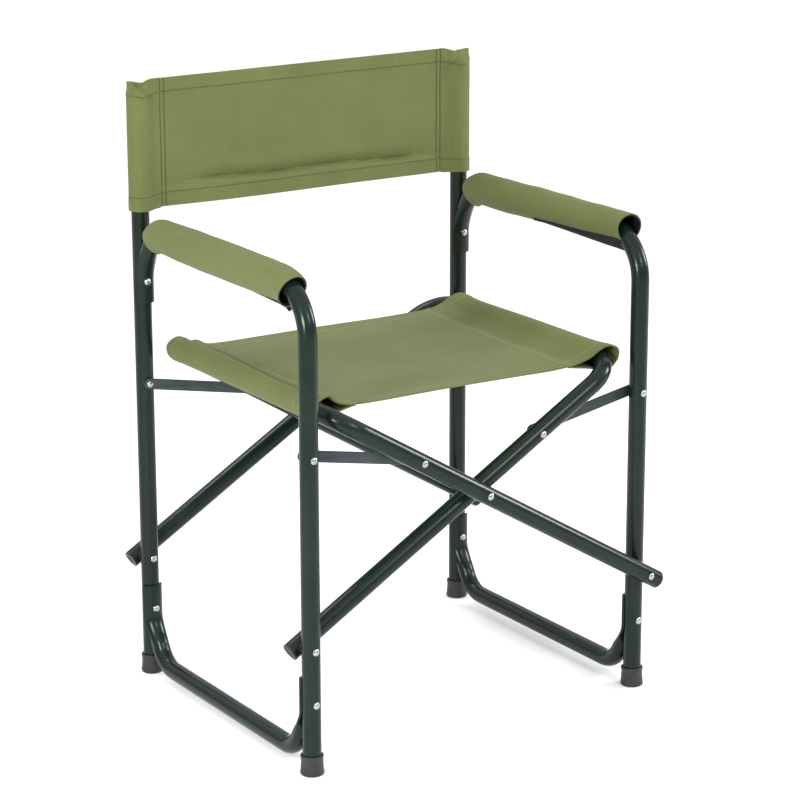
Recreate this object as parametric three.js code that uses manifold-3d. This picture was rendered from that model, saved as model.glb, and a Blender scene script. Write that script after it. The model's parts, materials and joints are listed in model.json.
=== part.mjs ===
// Folding director chair: two flat steel side frames joined by a pair of crossed seat rails, with four
// flat links that hold the frames upright, a canvas seat on the rails and a canvas back on the posts.
//
// Millimetres, +Z up, +Y to the back, +X to the right as seen from the front; left and right in names
// are as seen from the front too. The origin is on the floor under the middle of the open chair.
// A planar scissor in XZ opens and folds the chair, so every pivot is parallel to Y.
import * as THREE from 'three';
import { mergeVertices } from 'three/addons/utils/BufferGeometryUtils.js';
import Module from 'manifold-3d';

const wasm = await Module();
wasm.setup();

// ---- Driving dimensions -------------------------------------------------------------------------

const TUBE_R = 11; // 22 mm steel tube throughout
const TUBE_WALL = 1.2;
const FIT_GAP = 0.3; // between pieces that touch
const HALF_WIDTH = 240; // middle of the chair to a side frame's plane
const DEPTH = 392; // front leg axis to rear post axis
const WASHER_T = 2; // room for a washer between two pivoted tubes
const LAYER = 2 * TUBE_R + WASHER_T; // one tube and its washer, along Y

const PIVOT_Z = 152; // a rail's lower pivot, on a leg
const CROSS_Z = 296; // the pivot where the two rails cross
const RAIL_TOP = 240; // cross pivot to the seat stretch, along the rail
const RAIL_TAIL = { left: 18, right: 14.5 }; // tube left below each rail's lower pivot
const RAIL_BEND = 42;

const POST_TOP = 729; // inside the back's sleeve, whose top is sewn shut above it
const PLUG_STUB_R = 8.7; // plugs fit loosely inside the tubes
const PLUG_STUB = 10;
const TUBE_FOOT = 3.5; // tubes stand on the inside of their foot caps
const ARM_Z = 574;
const ARM_FRONT_BEND = 58;
const ARM_REAR_BEND = 40;
const ARM_DROP = 20; // the arm comes down this far in front of the rear post's axis
const ARM_RIVET_Z = 508;
const ARM_SADDLE = [481, 532]; // height span of the arm's crimped end

const STRETCHER_Z = 18;
const STRETCHER_BEND = 39;
const STRETCHER_RISE = 20.5; // its ends rise this far inside the legs' axes
const STRETCHER_ELBOW_Z = 65; // where they start to lean against the legs
const STRETCHER_RIVET_Z = 87;
const STRETCHER_SADDLE = [62, 117];

const SADDLE_T = 3; // flattened tube wall wrapped round a post
const SADDLE_HALF_ANGLE = THREE.MathUtils.degToRad(70);
const CRIMP_OFFSET = 5; // a tube end's axis, where it runs into its saddle, from the post's axis
const CRIMP_END = 8; // and how far it stops short of the stretcher saddle's top
const LEAN_BEND = 12;

const LINK_ON_RAIL = 107; // cross pivot to the link's pivot, along the rail
const FOLDED_ANGLE = THREE.MathUtils.degToRad(72.5); // a rail's slope when the chair is folded
const LINK_W = 13;
const LINK_END_STEPS = 8;
const LINK_T = 3;
const LINK_GAP = 0.5;

const RIVET_R = 2.5;
const RIVET_HEAD_R = 4.2;
const RIVET_HEAD_H = 2.2;
const WASHER_R = 8.5;
const BORE_R = 3.3; // rivet bores are hexagons in these solids, and clear the rivet

const CAP_H = 24;
const CAP_FLOOR = TUBE_FOOT - FIT_GAP;
const CAP_TOP_R = 13;
const CAP_FOOT_R = 14;

const CLOTH_T = 1.6; // canvas round a tube
const PANEL_T = 3; // hemmed canvas panel
const SEAT_Y = [-165, 160];
const SLEEVE_EASE = 1; // a seat sleeve keeps this far from its rail's bends
const SEAT_MIDDLE_Z = 415; // top of the canvas at the crease
const CREASE_GAP = 0.4; // each side of a crease
const BACK_Z = [595, 751];
const COVER_HALF = [17, 21.2]; // arm cover's half width and half height
const COVER_DROP = 2.5; // cover's middle below the arm's axis
const COVER_TURN = THREE.MathUtils.degToRad(45); // the cover is made this far round each bend
const COVER_FRONT_END = THREE.MathUtils.degToRad(28); // and cut off here
const COVER_REAR_END = THREE.MathUtils.degToRad(38);

const TUBE_SIDES = 14;
const INSIDE_SIDES = 8;
const POST_ROOM_SIDES = 16;
const BORE_SIDES = 6;
const BORE_REACH = 30; // a bore runs this far each side of the tube it goes through
const WALL_REACH = 2; // and this far past the axis where it goes through one wall only
const RIVET_SIDES = 8;
const RING_SIDES = 16;
const ARC_STEPS = 6;
const BEND_STEP = THREE.MathUtils.degToRad(22.5);
const THROUGH = 1; // how far a cut runs past an open end
const ANGLE_SLACK = 0.01; // for comparing angles, in radians

// ---- Worked out from them ------------------------------------------------------------------------

const FRONT = { left: -(DEPTH + LAYER) / 2, right: -(DEPTH - LAYER) / 2 }; // front tubes' Y
const REAR = { left: (DEPTH - LAYER) / 2, right: (DEPTH + LAYER) / 2 }; // rear tubes' Y
const SIDE = { left: -1, right: 1 };
const RAIL_SLOPE = Math.atan2(CROSS_Z - PIVOT_Z, HALF_WIDTH);
const RAIL_LOWER = Math.hypot(CROSS_Z - PIVOT_Z, HALF_WIDTH); // cross pivot to the lower pivot
// The height at which a link closes on its rail both open and folded.
const LINK_Z = PIVOT_Z
  + 2 * RAIL_LOWER * LINK_ON_RAIL / (RAIL_LOWER + LINK_ON_RAIL)
  * (Math.sin(RAIL_SLOPE) + Math.sin(FOLDED_ANGLE));
const INNER_R = TUBE_R - TUBE_WALL;
// Corner radius of the tube's inside outline, whose area is that of the round bore.
const INSIDE_ARC = 2 * Math.PI / INSIDE_SIDES;
const INSIDE_R = INNER_R * Math.sqrt(INSIDE_ARC / Math.sin(INSIDE_ARC));
const POST_CLEAR_R = TUBE_R + FIT_GAP;
const SADDLE_R = POST_CLEAR_R + SADDLE_T;
const SLEEVE_IN_R = TUBE_R + 0.4;
const SLEEVE_OUT_R = SLEEVE_IN_R + CLOTH_T;
const RAIL_SEAT = [RAIL_TOP * Math.cos(RAIL_SLOPE), CROSS_Z + RAIL_TOP * Math.sin(RAIL_SLOPE)];

// ---- Materials -----------------------------------------------------------------------------------

function material(color, roughness, metalness) {
  return new THREE.MeshStandardMaterial({ color, roughness, metalness });
}

const greenPaint = () => material(0x1f3029, 0.3, 0.4);
const linkPaint = () => material(0x353d40, 0.45, 0.4);
const brightSteel = () => material(0xc8ccd0, 0.3, 0.9);
const darkPlastic = () => material(0x3b3b42, 0.6, 0);
const washerNylon = () => material(0x202224, 0.6, 0);
const canvas = () => material(0x747c4c, 0.9, 0);

// ---- Solids --------------------------------------------------------------------------------------

/** A closed geometry as a solid that can be cut and joined. */
function solid(geometry) {
  const bare = geometry.index ? geometry.toNonIndexed() : geometry;
  bare.deleteAttribute('normal');
  bare.deleteAttribute('uv');
  const merged = mergeVertices(bare, 1e-4);
  return new wasm.Manifold(new wasm.Mesh({
    numProp: 3,
    vertProperties: new Float32Array(merged.attributes.position.array),
    triVerts: new Uint32Array(merged.index.array),
  }));
}

/** A solid back as a geometry. */
function geometryOf(manifold) {
  const mesh = manifold.getMesh();
  const geometry = new THREE.BufferGeometry();
  geometry.setAttribute('position', new THREE.BufferAttribute(mesh.vertProperties, 3));
  geometry.setIndex(new THREE.BufferAttribute(mesh.triVerts, 1));
  return geometry;
}

/** Points of an ellipse, or of a circle when only one radius is given. */
function ring(sides, rx, rz = rx, cx = 0, cz = 0) {
  return Array.from({ length: sides }, (_, i) => {
    const angle = 2 * Math.PI * (i + 0.5) / sides;
    return new THREE.Vector2(cx + rx * Math.cos(angle), cz + rz * Math.sin(angle));
  });
}

/** A path through corners, each rounded with its own radius: straight runs and true arcs. */
class BentPath extends THREE.Curve {
  constructor(corners, radii) {
    super();
    this.stations = [];
    const last = corners.length - 1;
    const directions = corners.slice(1).map((c, i) => c.clone().sub(corners[i]).normalize());
    this.stations.push([corners[0], directions[0]]);
    for (let i = 1; i < last; i++) {
      this.roundCorner(corners[i], directions[i - 1], directions[i], radii[i - 1]);
    }
    this.stations.push([corners[last], directions[last - 1]]);
  }

  roundCorner(corner, before, after, radius) {
    const turn = before.angleTo(after);
    const setback = radius * Math.tan(turn / 2);
    const start = corner.clone().addScaledVector(before, -setback);
    const side = after.clone().addScaledVector(before, -after.dot(before)).normalize();
    const steps = Math.max(2, Math.ceil(turn / BEND_STEP));
    for (let k = 0; k <= steps; k++) {
      const angle = turn * k / steps;
      const point = start.clone()
        .addScaledVector(before, radius * Math.sin(angle))
        .addScaledVector(side, radius * (1 - Math.cos(angle)));
      const direction = before.clone().multiplyScalar(Math.cos(angle)).addScaledVector(side, Math.sin(angle));
      this.stations.push([point, direction]);
    }
  }

  get steps() { return this.stations.length - 1; }

  station(t) { return this.stations[Math.round(t * this.steps)]; }

  getPoint(t) { return this.station(t)[0].clone(); }

  getPointAt(t) { return this.getPoint(t); }

  getTangent(t) { return this.station(t)[1].clone(); }

  getTangentAt(t) { return this.getTangent(t); }
}

/** An outline, with or without a hole, swept along a bent path. */
function sweep(path, outline, hole) {
  const shape = new THREE.Shape(outline);
  if (hole) shape.holes.push(new THREE.Path(hole));
  return solid(new THREE.ExtrudeGeometry(shape, { steps: path.steps, extrudePath: path }));
}

/** A straight prism of an XZ outline along Y. */
function alongY(outline, y0, y1, hole) {
  const shape = new THREE.Shape(outline);
  if (hole) shape.holes.push(new THREE.Path(hole));
  const geometry = new THREE.ExtrudeGeometry(shape, { depth: y1 - y0, bevelEnabled: false });
  return solid(geometry.rotateX(Math.PI / 2).translate(0, y1, 0));
}

/** A straight prism of an XY outline along Z. */
function alongZ(outline, z0, z1, hole) {
  const shape = new THREE.Shape(outline);
  if (hole) shape.holes.push(new THREE.Path(hole));
  const geometry = new THREE.ExtrudeGeometry(shape, { depth: z1 - z0, bevelEnabled: false });
  return solid(geometry.translate(0, 0, z0));
}

/** A bore along Y through (x, z), between two Y values. */
function bore(x, z, y0, y1) {
  return alongY(ring(BORE_SIDES, BORE_R, BORE_R, x, z), y0, y1);
}

/** A bore through both walls of a tube whose axis is at y. */
function boreThrough(x, z, y) {
  return bore(x, z, y - BORE_REACH, y + BORE_REACH);
}

function cutAll(body, cutters) {
  return cutters.reduce((left, cutter) => left.subtract(cutter), body);
}

/** A bent tube, open at both ends. */
function hollowTube(corners, radii) {
  const longer = corners.map((corner) => corner.clone());
  const last = corners.length - 1;
  longer[0].add(corners[0].clone().sub(corners[1]).setLength(THROUGH));
  longer[last].add(corners[last].clone().sub(corners[last - 1]).setLength(THROUGH));
  const outside = sweep(new BentPath(corners, radii), ring(TUBE_SIDES, TUBE_R));
  return outside.subtract(sweep(new BentPath(longer, radii), ring(INSIDE_SIDES, INSIDE_R)));
}

/** The C-shaped end that wraps a post; facing is +1 for its back half, -1 for its front half. */
function saddle(y, facing, [z0, z1]) {
  const arc = (radius, from, to) => Array.from({ length: ARC_STEPS + 1 }, (_, i) => {
    const angle = from + (to - from) * i / ARC_STEPS;
    return new THREE.Vector2(radius * Math.sin(angle), y + facing * radius * Math.cos(angle));
  });
  const outer = arc(SADDLE_R, -SADDLE_HALF_ANGLE, SADDLE_HALF_ANGLE);
  const inner = arc(POST_CLEAR_R, SADDLE_HALF_ANGLE, -SADDLE_HALF_ANGLE);
  return alongZ([...outer, ...inner], z0, z1);
}

/** The room that a post needs inside a saddle. */
function postRoom(y) {
  const cornerR = POST_CLEAR_R / Math.cos(Math.PI / POST_ROOM_SIDES);
  return alongZ(ring(POST_ROOM_SIDES, cornerR, cornerR, 0, y), STRETCHER_Z + TUBE_R + FIT_GAP, POST_TOP);
}

/** A point in a side frame's own plane. */
const inPlane = (y, z) => new THREE.Vector3(0, y, z);

// ---- Side frame pieces, built in the plane x = 0 --------------------------------------------------

/** Front leg, arm and the drop to the rear post: [corners, bend radii]. */
function armLegRoute(front, rear) {
  const [low, high] = ARM_SADDLE;
  const corners = [
    inPlane(front, TUBE_FOOT),
    inPlane(front, ARM_Z),
    inPlane(rear - ARM_DROP, ARM_Z),
    inPlane(rear - ARM_DROP, high - CRIMP_OFFSET),
    inPlane(rear - CRIMP_OFFSET, low + 2 * CRIMP_END),
  ];
  return [corners, [ARM_FRONT_BEND, ARM_REAR_BEND, LEAN_BEND]];
}

function armLegTube(front, rear) {
  const tube = hollowTube(...armLegRoute(front, rear)).add(saddle(rear, -1, ARM_SADDLE));
  const legBores = [STRETCHER_RIVET_Z, PIVOT_Z, LINK_Z].map((z) => boreThrough(0, z, front));
  const rivetBore = bore(0, ARM_RIVET_Z, rear - BORE_REACH, rear + WALL_REACH);
  return cutAll(tube, [postRoom(rear), rivetBore, ...legBores]);
}

function rearPost(rear) {
  const inside = ring(INSIDE_SIDES, INSIDE_R, INSIDE_R, 0, rear);
  const post = alongZ(ring(TUBE_SIDES, TUBE_R, TUBE_R, 0, rear), TUBE_FOOT, POST_TOP, inside);
  const heights = [STRETCHER_RIVET_Z, PIVOT_Z, LINK_Z, ARM_RIVET_Z];
  return cutAll(post, heights.map((z) => boreThrough(0, z, rear)));
}

function stretcher(front, rear) {
  const end = STRETCHER_SADDLE[1] - CRIMP_END;
  const corners = [
    inPlane(front + CRIMP_OFFSET, end),
    inPlane(front + STRETCHER_RISE, STRETCHER_ELBOW_Z),
    inPlane(front + STRETCHER_RISE, STRETCHER_Z),
    inPlane(rear - STRETCHER_RISE, STRETCHER_Z),
    inPlane(rear - STRETCHER_RISE, STRETCHER_ELBOW_Z),
    inPlane(rear - CRIMP_OFFSET, end),
  ];
  const bent = hollowTube(corners, [LEAN_BEND, STRETCHER_BEND, STRETCHER_BEND, LEAN_BEND]);
  const tube = bent.add(saddle(front, 1, STRETCHER_SADDLE)).add(saddle(rear, -1, STRETCHER_SADDLE));
  return cutAll(tube, [
    postRoom(front),
    postRoom(rear),
    bore(0, STRETCHER_RIVET_Z, front - WALL_REACH, front + BORE_REACH),
    bore(0, STRETCHER_RIVET_Z, rear - BORE_REACH, rear + WALL_REACH),
  ]);
}

function footCap(y) {
  const inside = TUBE_R + FIT_GAP;
  const profile = [
    [0, 0], [CAP_FOOT_R - 1, 0], [CAP_FOOT_R, 1.5], [CAP_FOOT_R - 0.3, 5], [CAP_TOP_R, 12],
    [CAP_TOP_R, CAP_H - 0.8], [CAP_TOP_R - 0.6, CAP_H], [inside, CAP_H],
    [inside, CAP_FLOOR], [0, CAP_FLOOR],
  ].map(([r, z]) => new THREE.Vector2(r, z));
  return solid(new THREE.LatheGeometry(profile, RING_SIDES).rotateX(Math.PI / 2).translate(0, y, 0));
}

function postPlug(y) {
  const foot = POST_TOP - PLUG_STUB;
  const profile = [
    [0, foot], [PLUG_STUB_R, foot], [PLUG_STUB_R, POST_TOP + FIT_GAP], [TUBE_R, POST_TOP + FIT_GAP],
    [TUBE_R - 1, POST_TOP + 2.5], [TUBE_R - 4, POST_TOP + 3.6], [0, POST_TOP + 4],
  ].map(([r, z]) => new THREE.Vector2(r, z));
  return solid(new THREE.LatheGeometry(profile, TUBE_SIDES).rotateX(Math.PI / 2).translate(0, y, 0));
}

function armCover(front, rear) {
  const path = new BentPath(...armLegRoute(front, rear));
  const level = new THREE.Vector3(0, 1, 0);
  const atArmHeight = ARM_Z - ARM_FRONT_BEND / 2;
  path.stations = path.stations.filter(([point, direction]) => (
    direction.angleTo(level) < COVER_TURN + ANGLE_SLACK && point.z > atArmHeight
  ));
  const [halfW, halfH] = COVER_HALF;
  const sleeve = sweep(
    path,
    ring(RING_SIDES, halfW, halfH, 0, -COVER_DROP),
    ring(RING_SIDES, halfW - CLOTH_T, halfH - CLOTH_T, 0, -COVER_DROP),
  );
  const frontCut = squareCut(COVER_FRONT_END, 1, front + ARM_FRONT_BEND, ARM_Z - ARM_FRONT_BEND);
  const rearCut = squareCut(COVER_REAR_END, -1, rear - ARM_DROP - ARM_REAR_BEND, ARM_Z - ARM_REAR_BEND);
  return sleeve.trimByPlane(...frontCut).trimByPlane(...rearCut);
}

/** The plane square to a bend round (y, z), at an angle down from the arm; toArm is the kept side along Y. */
function squareCut(angle, toArm, y, z) {
  const normal = [0, toArm * Math.cos(angle), Math.sin(angle)];
  return [normal, normal[1] * y + normal[2] * z];
}

// ---- Fasteners -----------------------------------------------------------------------------------

/** A rivet along Y whose heads seat at y0 and y1; a headless end is cut flush. */
function rivet(x, z, y0, y1, { head0 = true, head1 = true } = {}) {
  const shoulder = [RIVET_HEAD_R * 0.72, RIVET_HEAD_H * 0.75]; // a point on the head's round top
  const dome = (y, out) => [
    [RIVET_HEAD_R, y],
    [shoulder[0], y + out * shoulder[1]],
    [0, y + out * RIVET_HEAD_H],
  ];
  const start = head0 ? [...dome(y0, -1).reverse(), [RIVET_R, y0]] : [[0, y0], [RIVET_R, y0]];
  const end = head1 ? [[RIVET_R, y1], ...dome(y1, 1)] : [[RIVET_R, y1], [0, y1]];
  const profile = [...start, ...end].map(([r, y]) => new THREE.Vector2(r, y));
  return solid(new THREE.LatheGeometry(profile, RIVET_SIDES).translate(x, 0, z));
}

function washer(x, z, y) {
  const half = WASHER_T / 2 - FIT_GAP;
  const outline = ring(RING_SIDES, WASHER_R, WASHER_R, x, z);
  return alongY(outline, y - half, y + half, ring(BORE_SIDES, BORE_R, BORE_R, x, z));
}

// ---- Seat rails, built in the plane of the rail: u along it from the cross pivot, y ---------------

function seatRail(side) {
  const along = new THREE.Vector3(SIDE[side] * Math.cos(RAIL_SLOPE), 0, Math.sin(RAIL_SLOPE));
  const at = (u, y) => new THREE.Vector3(0, y, CROSS_Z).addScaledVector(along, u);
  const tail = -(RAIL_LOWER + RAIL_TAIL[side]);
  const [front, rear] = [FRONT[side], REAR[side]];
  const corners = [at(tail, front), at(RAIL_TOP, front), at(RAIL_TOP, rear), at(tail, rear)];
  const bores = [-RAIL_LOWER, 0, LINK_ON_RAIL].flatMap((u) => [front, rear].map((y) => {
    const centre = at(u, y);
    return boreThrough(centre.x, centre.z, y);
  }));
  return cutAll(hollowTube(corners, [RAIL_BEND, RAIL_BEND]), bores);
}

function railPlug(side, y) {
  const angle = SIDE[side] * (Math.PI / 2 + RAIL_SLOPE);
  const tail = RAIL_LOWER + RAIL_TAIL[side];
  const foot = tail - PLUG_STUB;
  const profile = [[0, foot], [PLUG_STUB_R, foot], [PLUG_STUB_R, tail + FIT_GAP],
    [TUBE_R, tail + FIT_GAP], [TUBE_R - 0.8, tail + 2.2], [0, tail + 2.6],
  ].map(([r, v]) => new THREE.Vector2(r, v));
  const geometry = new THREE.LatheGeometry(profile, TUBE_SIDES).rotateX(Math.PI / 2);
  return solid(geometry.rotateY(-angle).translate(0, y, CROSS_Z));
}

// ---- Links ---------------------------------------------------------------------------------------

/** Where a link's two ends are, on its frame and on its rail. */
function linkEnds(side) {
  return [
    [SIDE[side] * HALF_WIDTH, LINK_Z],
    [SIDE[side] * LINK_ON_RAIL * Math.cos(RAIL_SLOPE), CROSS_Z + LINK_ON_RAIL * Math.sin(RAIL_SLOPE)],
  ];
}

/** A flat bar with round ends, one bored for the frame's rivet and one with its own pressed stud. */
function link(side, tubeY, inward) {
  const [[x0, z0], [x1, z1]] = linkEnds(side);
  const turn = Math.atan2(z1 - z0, x1 - x0);
  const end = (x, z, from) => Array.from({ length: LINK_END_STEPS + 1 }, (_, i) => {
    const angle = turn + from + Math.PI * i / LINK_END_STEPS;
    return new THREE.Vector2(x + LINK_W / 2 * Math.cos(angle), z + LINK_W / 2 * Math.sin(angle));
  });
  const near = tubeY + inward * (TUBE_R + LINK_GAP);
  const far = near + inward * LINK_T;
  const [low, high] = [Math.min(near, far), Math.max(near, far)];
  const bar = alongY([...end(x1, z1, -Math.PI / 2), ...end(x0, z0, Math.PI / 2)], low, high);
  const stud = rivet(x1, z1, low + LINK_T / 2, high, { head0: false });
  const facing = inward > 0 ? stud : rivet(x1, z1, low, high - LINK_T / 2, { head1: false });
  return bar.add(facing).subtract(bore(x0, z0, low - 1, high + 1));
}

// ---- Canvas --------------------------------------------------------------------------------------

/** Half the seat: a sleeve round its rail, and its panel down to the crease in the middle. */
function seatHalf(side) {
  const [railX, railZ] = [SIDE[side] * RAIL_SEAT[0], RAIL_SEAT[1]];
  const creaseX = SIDE[side] * CREASE_GAP;
  // Each rail's straight stretch starts or ends short of one edge of the seat, and the sleeve with it.
  const straight = [FRONT[side] + RAIL_BEND, REAR[side] - RAIL_BEND];
  const sleeveY = [
    Math.max(SEAT_Y[0], straight[0] + SLEEVE_EASE),
    Math.min(SEAT_Y[1], straight[1] - SLEEVE_EASE),
  ];
  const sleeve = alongY(ring(RING_SIDES, SLEEVE_OUT_R, SLEEVE_OUT_R, railX, railZ), ...sleeveY);
  const sleeveTop = railZ + SLEEVE_OUT_R;
  const corners = [[railX, sleeveTop], [creaseX, SEAT_MIDDLE_Z],
    [creaseX, SEAT_MIDDLE_Z - PANEL_T], [railX, sleeveTop - PANEL_T]]
    .map(([x, z]) => new THREE.Vector2(x, z));
  if (side === 'left') corners.reverse();
  const hollow = alongY(ring(RING_SIDES, SLEEVE_IN_R, SLEEVE_IN_R, railX, railZ), ...SEAT_Y);
  return sleeve.add(alongY(corners, ...SEAT_Y)).subtract(hollow);
}

/** Half the back: a sleeve round its post, and its panel to the crease in the middle. */
function backHalf(side) {
  const [postX, postY] = [SIDE[side] * HALF_WIDTH, REAR[side]];
  const creaseY = (REAR.left + REAR.right) / 2;
  const creaseX = SIDE[side] * CREASE_GAP;
  const corners = [[postX, postY], [creaseX, creaseY],
    [creaseX, creaseY + PANEL_T], [postX, postY + PANEL_T]]
    .map(([x, y]) => new THREE.Vector2(x, y));
  if (side === 'right') corners.reverse();
  const [bottom, top] = BACK_Z;
  const inside = ring(RING_SIDES, SLEEVE_IN_R, SLEEVE_IN_R, postX, postY);
  const sleeve = alongZ(ring(RING_SIDES, SLEEVE_OUT_R, SLEEVE_OUT_R, postX, postY), bottom, top);
  const hollow = alongZ(inside, bottom - THROUGH, top + THROUGH);
  return sleeve.add(alongZ(corners, ...BACK_Z)).subtract(hollow);
}

// ---- Assembly ------------------------------------------------------------------------------------

const chair = new THREE.Group();

function place(name, manifold, look, x = 0) {
  const mesh = new THREE.Mesh(geometryOf(manifold), look);
  mesh.name = name;
  mesh.position.x = x;
  chair.add(mesh);
}

/** A side frame's tubes, caps, cover and its own rivets. */
function addSideFrame(side) {
  const x = SIDE[side] * HALF_WIDTH;
  const [front, rear] = [FRONT[side], REAR[side]];
  const seat = TUBE_R + FIT_GAP;
  const onSaddle = SADDLE_R + FIT_GAP;
  place(`arm_leg_tube_${side}`, armLegTube(front, rear), greenPaint(), x);
  place(`rear_post_${side}`, rearPost(rear), greenPaint(), x);
  place(`stretcher_${side}`, stretcher(front, rear), greenPaint(), x);
  place(`front_foot_cap_${side}`, footCap(front), darkPlastic(), x);
  place(`rear_foot_cap_${side}`, footCap(rear), darkPlastic(), x);
  place(`post_top_plug_${side}`, postPlug(rear), darkPlastic(), x);
  place(`arm_cover_${side}`, armCover(front, rear), canvas(), x);
  place(`arm_rivet_${side}`, rivet(0, ARM_RIVET_Z, rear - onSaddle, rear + seat), brightSteel(), x);
  const frontRivet = rivet(0, STRETCHER_RIVET_Z, front - seat, front + onSaddle);
  const rearRivet = rivet(0, STRETCHER_RIVET_Z, rear - onSaddle, rear + seat);
  place(`stretcher_front_rivet_${side}`, frontRivet, brightSteel(), x);
  place(`stretcher_rear_rivet_${side}`, rearRivet, brightSteel(), x);
}

/** The pivots that join two tubes lying in neighbouring layers. */
function addPivot(name, x, z, ySpan) {
  const seat = TUBE_R + FIT_GAP;
  place(`${name}_rivet`, rivet(x, z, ySpan[0] - seat, ySpan[1] + seat), brightSteel());
  place(`${name}_washer`, washer(x, z, (ySpan[0] + ySpan[1]) / 2), washerNylon());
}

/** A link with its rivet on the frame and its rivet on the rail. */
function addLink(end, side) {
  const tubeY = end === 'front' ? FRONT[side] : REAR[side];
  const inward = end === 'front' ? 1 : -1;
  const [[frameX, frameZ], [railX, railZ]] = linkEnds(side);
  const outerSeat = tubeY - inward * (TUBE_R + FIT_GAP);
  const linkSeat = tubeY + inward * (TUBE_R + LINK_GAP + LINK_T + FIT_GAP);
  const flush = tubeY + inward * (TUBE_R + LINK_GAP / 2);
  const span = [outerSeat, linkSeat].sort((a, b) => a - b);
  const short = [outerSeat, flush].sort((a, b) => a - b);
  place(`${end}_link_${side}`, link(side, tubeY, inward), linkPaint());
  place(`${end}_link_frame_rivet_${side}`, rivet(frameX, frameZ, ...span), brightSteel());
  const outerHeadOnly = { head0: inward > 0, head1: inward < 0 };
  place(`${end}_link_rail_rivet_${side}`, rivet(railX, railZ, ...short, outerHeadOnly), brightSteel());
}

for (const side of ['left', 'right']) {
  addSideFrame(side);
  place(`seat_rail_${side}`, seatRail(side), greenPaint());
  place(`rail_plug_front_${side}`, railPlug(side, FRONT[side]), darkPlastic());
  place(`rail_plug_rear_${side}`, railPlug(side, REAR[side]), darkPlastic());
  addPivot(`front_lower_pivot_${side}`, SIDE[side] * HALF_WIDTH, PIVOT_Z, [FRONT.left, FRONT.right]);
  addPivot(`rear_lower_pivot_${side}`, SIDE[side] * HALF_WIDTH, PIVOT_Z, [REAR.left, REAR.right]);
  addLink('front', side);
  addLink('rear', side);
  place(`seat_canvas_${side}`, seatHalf(side), canvas());
  place(`back_canvas_${side}`, backHalf(side), canvas());
}
addPivot('front_cross_pivot', 0, CROSS_Z, [FRONT.left, FRONT.right]);
addPivot('rear_cross_pivot', 0, CROSS_Z, [REAR.left, REAR.right]);

export default chair;
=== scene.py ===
"""A folding director chair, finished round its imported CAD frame.

Metres, +Z up, +Y to the back, +X to the right as seen from the front, which also names left and right.
Every piece is built where its CAD node is. Tubes, fasteners and links are lofted or turned finely;
the canvas is laid out as sheets of the real cut, with sleeves, hems, seams and stitches.
"""

import json
import math

import bmesh
import bpy
import numpy as np
from mathutils import Matrix, Vector, noise


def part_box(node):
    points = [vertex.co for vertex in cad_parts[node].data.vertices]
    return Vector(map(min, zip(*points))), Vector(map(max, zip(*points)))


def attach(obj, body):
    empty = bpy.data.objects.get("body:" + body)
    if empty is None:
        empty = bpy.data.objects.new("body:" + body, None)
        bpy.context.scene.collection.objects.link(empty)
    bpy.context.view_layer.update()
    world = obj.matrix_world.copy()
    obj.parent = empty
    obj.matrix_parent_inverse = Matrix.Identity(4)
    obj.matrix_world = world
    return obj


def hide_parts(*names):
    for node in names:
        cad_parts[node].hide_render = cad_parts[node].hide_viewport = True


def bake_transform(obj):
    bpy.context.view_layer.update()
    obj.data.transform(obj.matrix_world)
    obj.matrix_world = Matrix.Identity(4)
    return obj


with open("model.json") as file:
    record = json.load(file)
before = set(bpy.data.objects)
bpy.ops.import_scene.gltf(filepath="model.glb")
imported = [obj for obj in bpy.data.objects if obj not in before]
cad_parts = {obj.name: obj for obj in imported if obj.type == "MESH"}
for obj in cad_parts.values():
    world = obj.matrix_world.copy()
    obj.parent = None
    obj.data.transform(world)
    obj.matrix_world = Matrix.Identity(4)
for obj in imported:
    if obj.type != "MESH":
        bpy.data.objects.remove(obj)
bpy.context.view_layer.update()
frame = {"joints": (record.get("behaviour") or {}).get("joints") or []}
joints = {joint["name"]: joint for joint in frame["joints"]}

# ---- Places taken from the frame ----


def middle(node):
    """The centre of a CAD node's box."""
    low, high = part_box(node)
    return (low + high) / 2


SIDES = {"left": -1, "right": 1}
post_low, post_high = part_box("rear_post_left")
TUBE_R = (post_high.y - post_low.y) / 2
TUBE_FOOT = post_low.z
POST_TOP = post_high.z
HALF_WIDTH = joints["right_frame_pivot"]["pos_m"][0]
PIVOT_Z = joints["fold"]["pos_m"][2]
CROSS_Z = joints["cross"]["pos_m"][2]
LINK_Z = joints["front_link_left_pivot"]["pos_m"][2]
FRONT = {side: middle(f"front_foot_cap_{side}").y for side in SIDES}
REAR = {side: middle(f"rear_foot_cap_{side}").y for side in SIDES}
ENDS = {"front": FRONT, "rear": REAR}
RAIL_SLOPE = math.atan2(CROSS_Z - PIVOT_Z, HALF_WIDTH)
RAIL_LOWER = math.hypot(CROSS_Z - PIVOT_Z, HALF_WIDTH)
SEAT_RAIL_X = -joints["seat_sleeve"]["pos_m"][0]
SEAT_RAIL_Z = joints["seat_sleeve"]["pos_m"][2]
RAIL_TOP = SEAT_RAIL_X / math.cos(RAIL_SLOPE)
seat_low, seat_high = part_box("seat_canvas_left")
SEAT_FRONT, SEAT_REAR = seat_low.y, seat_high.y
SEAT_CREASE_Z = joints["seat_crease"]["pos_m"][2]
BACK_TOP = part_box("back_canvas_left")[1].z

# ---- Sizes of the metal pieces ----

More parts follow.
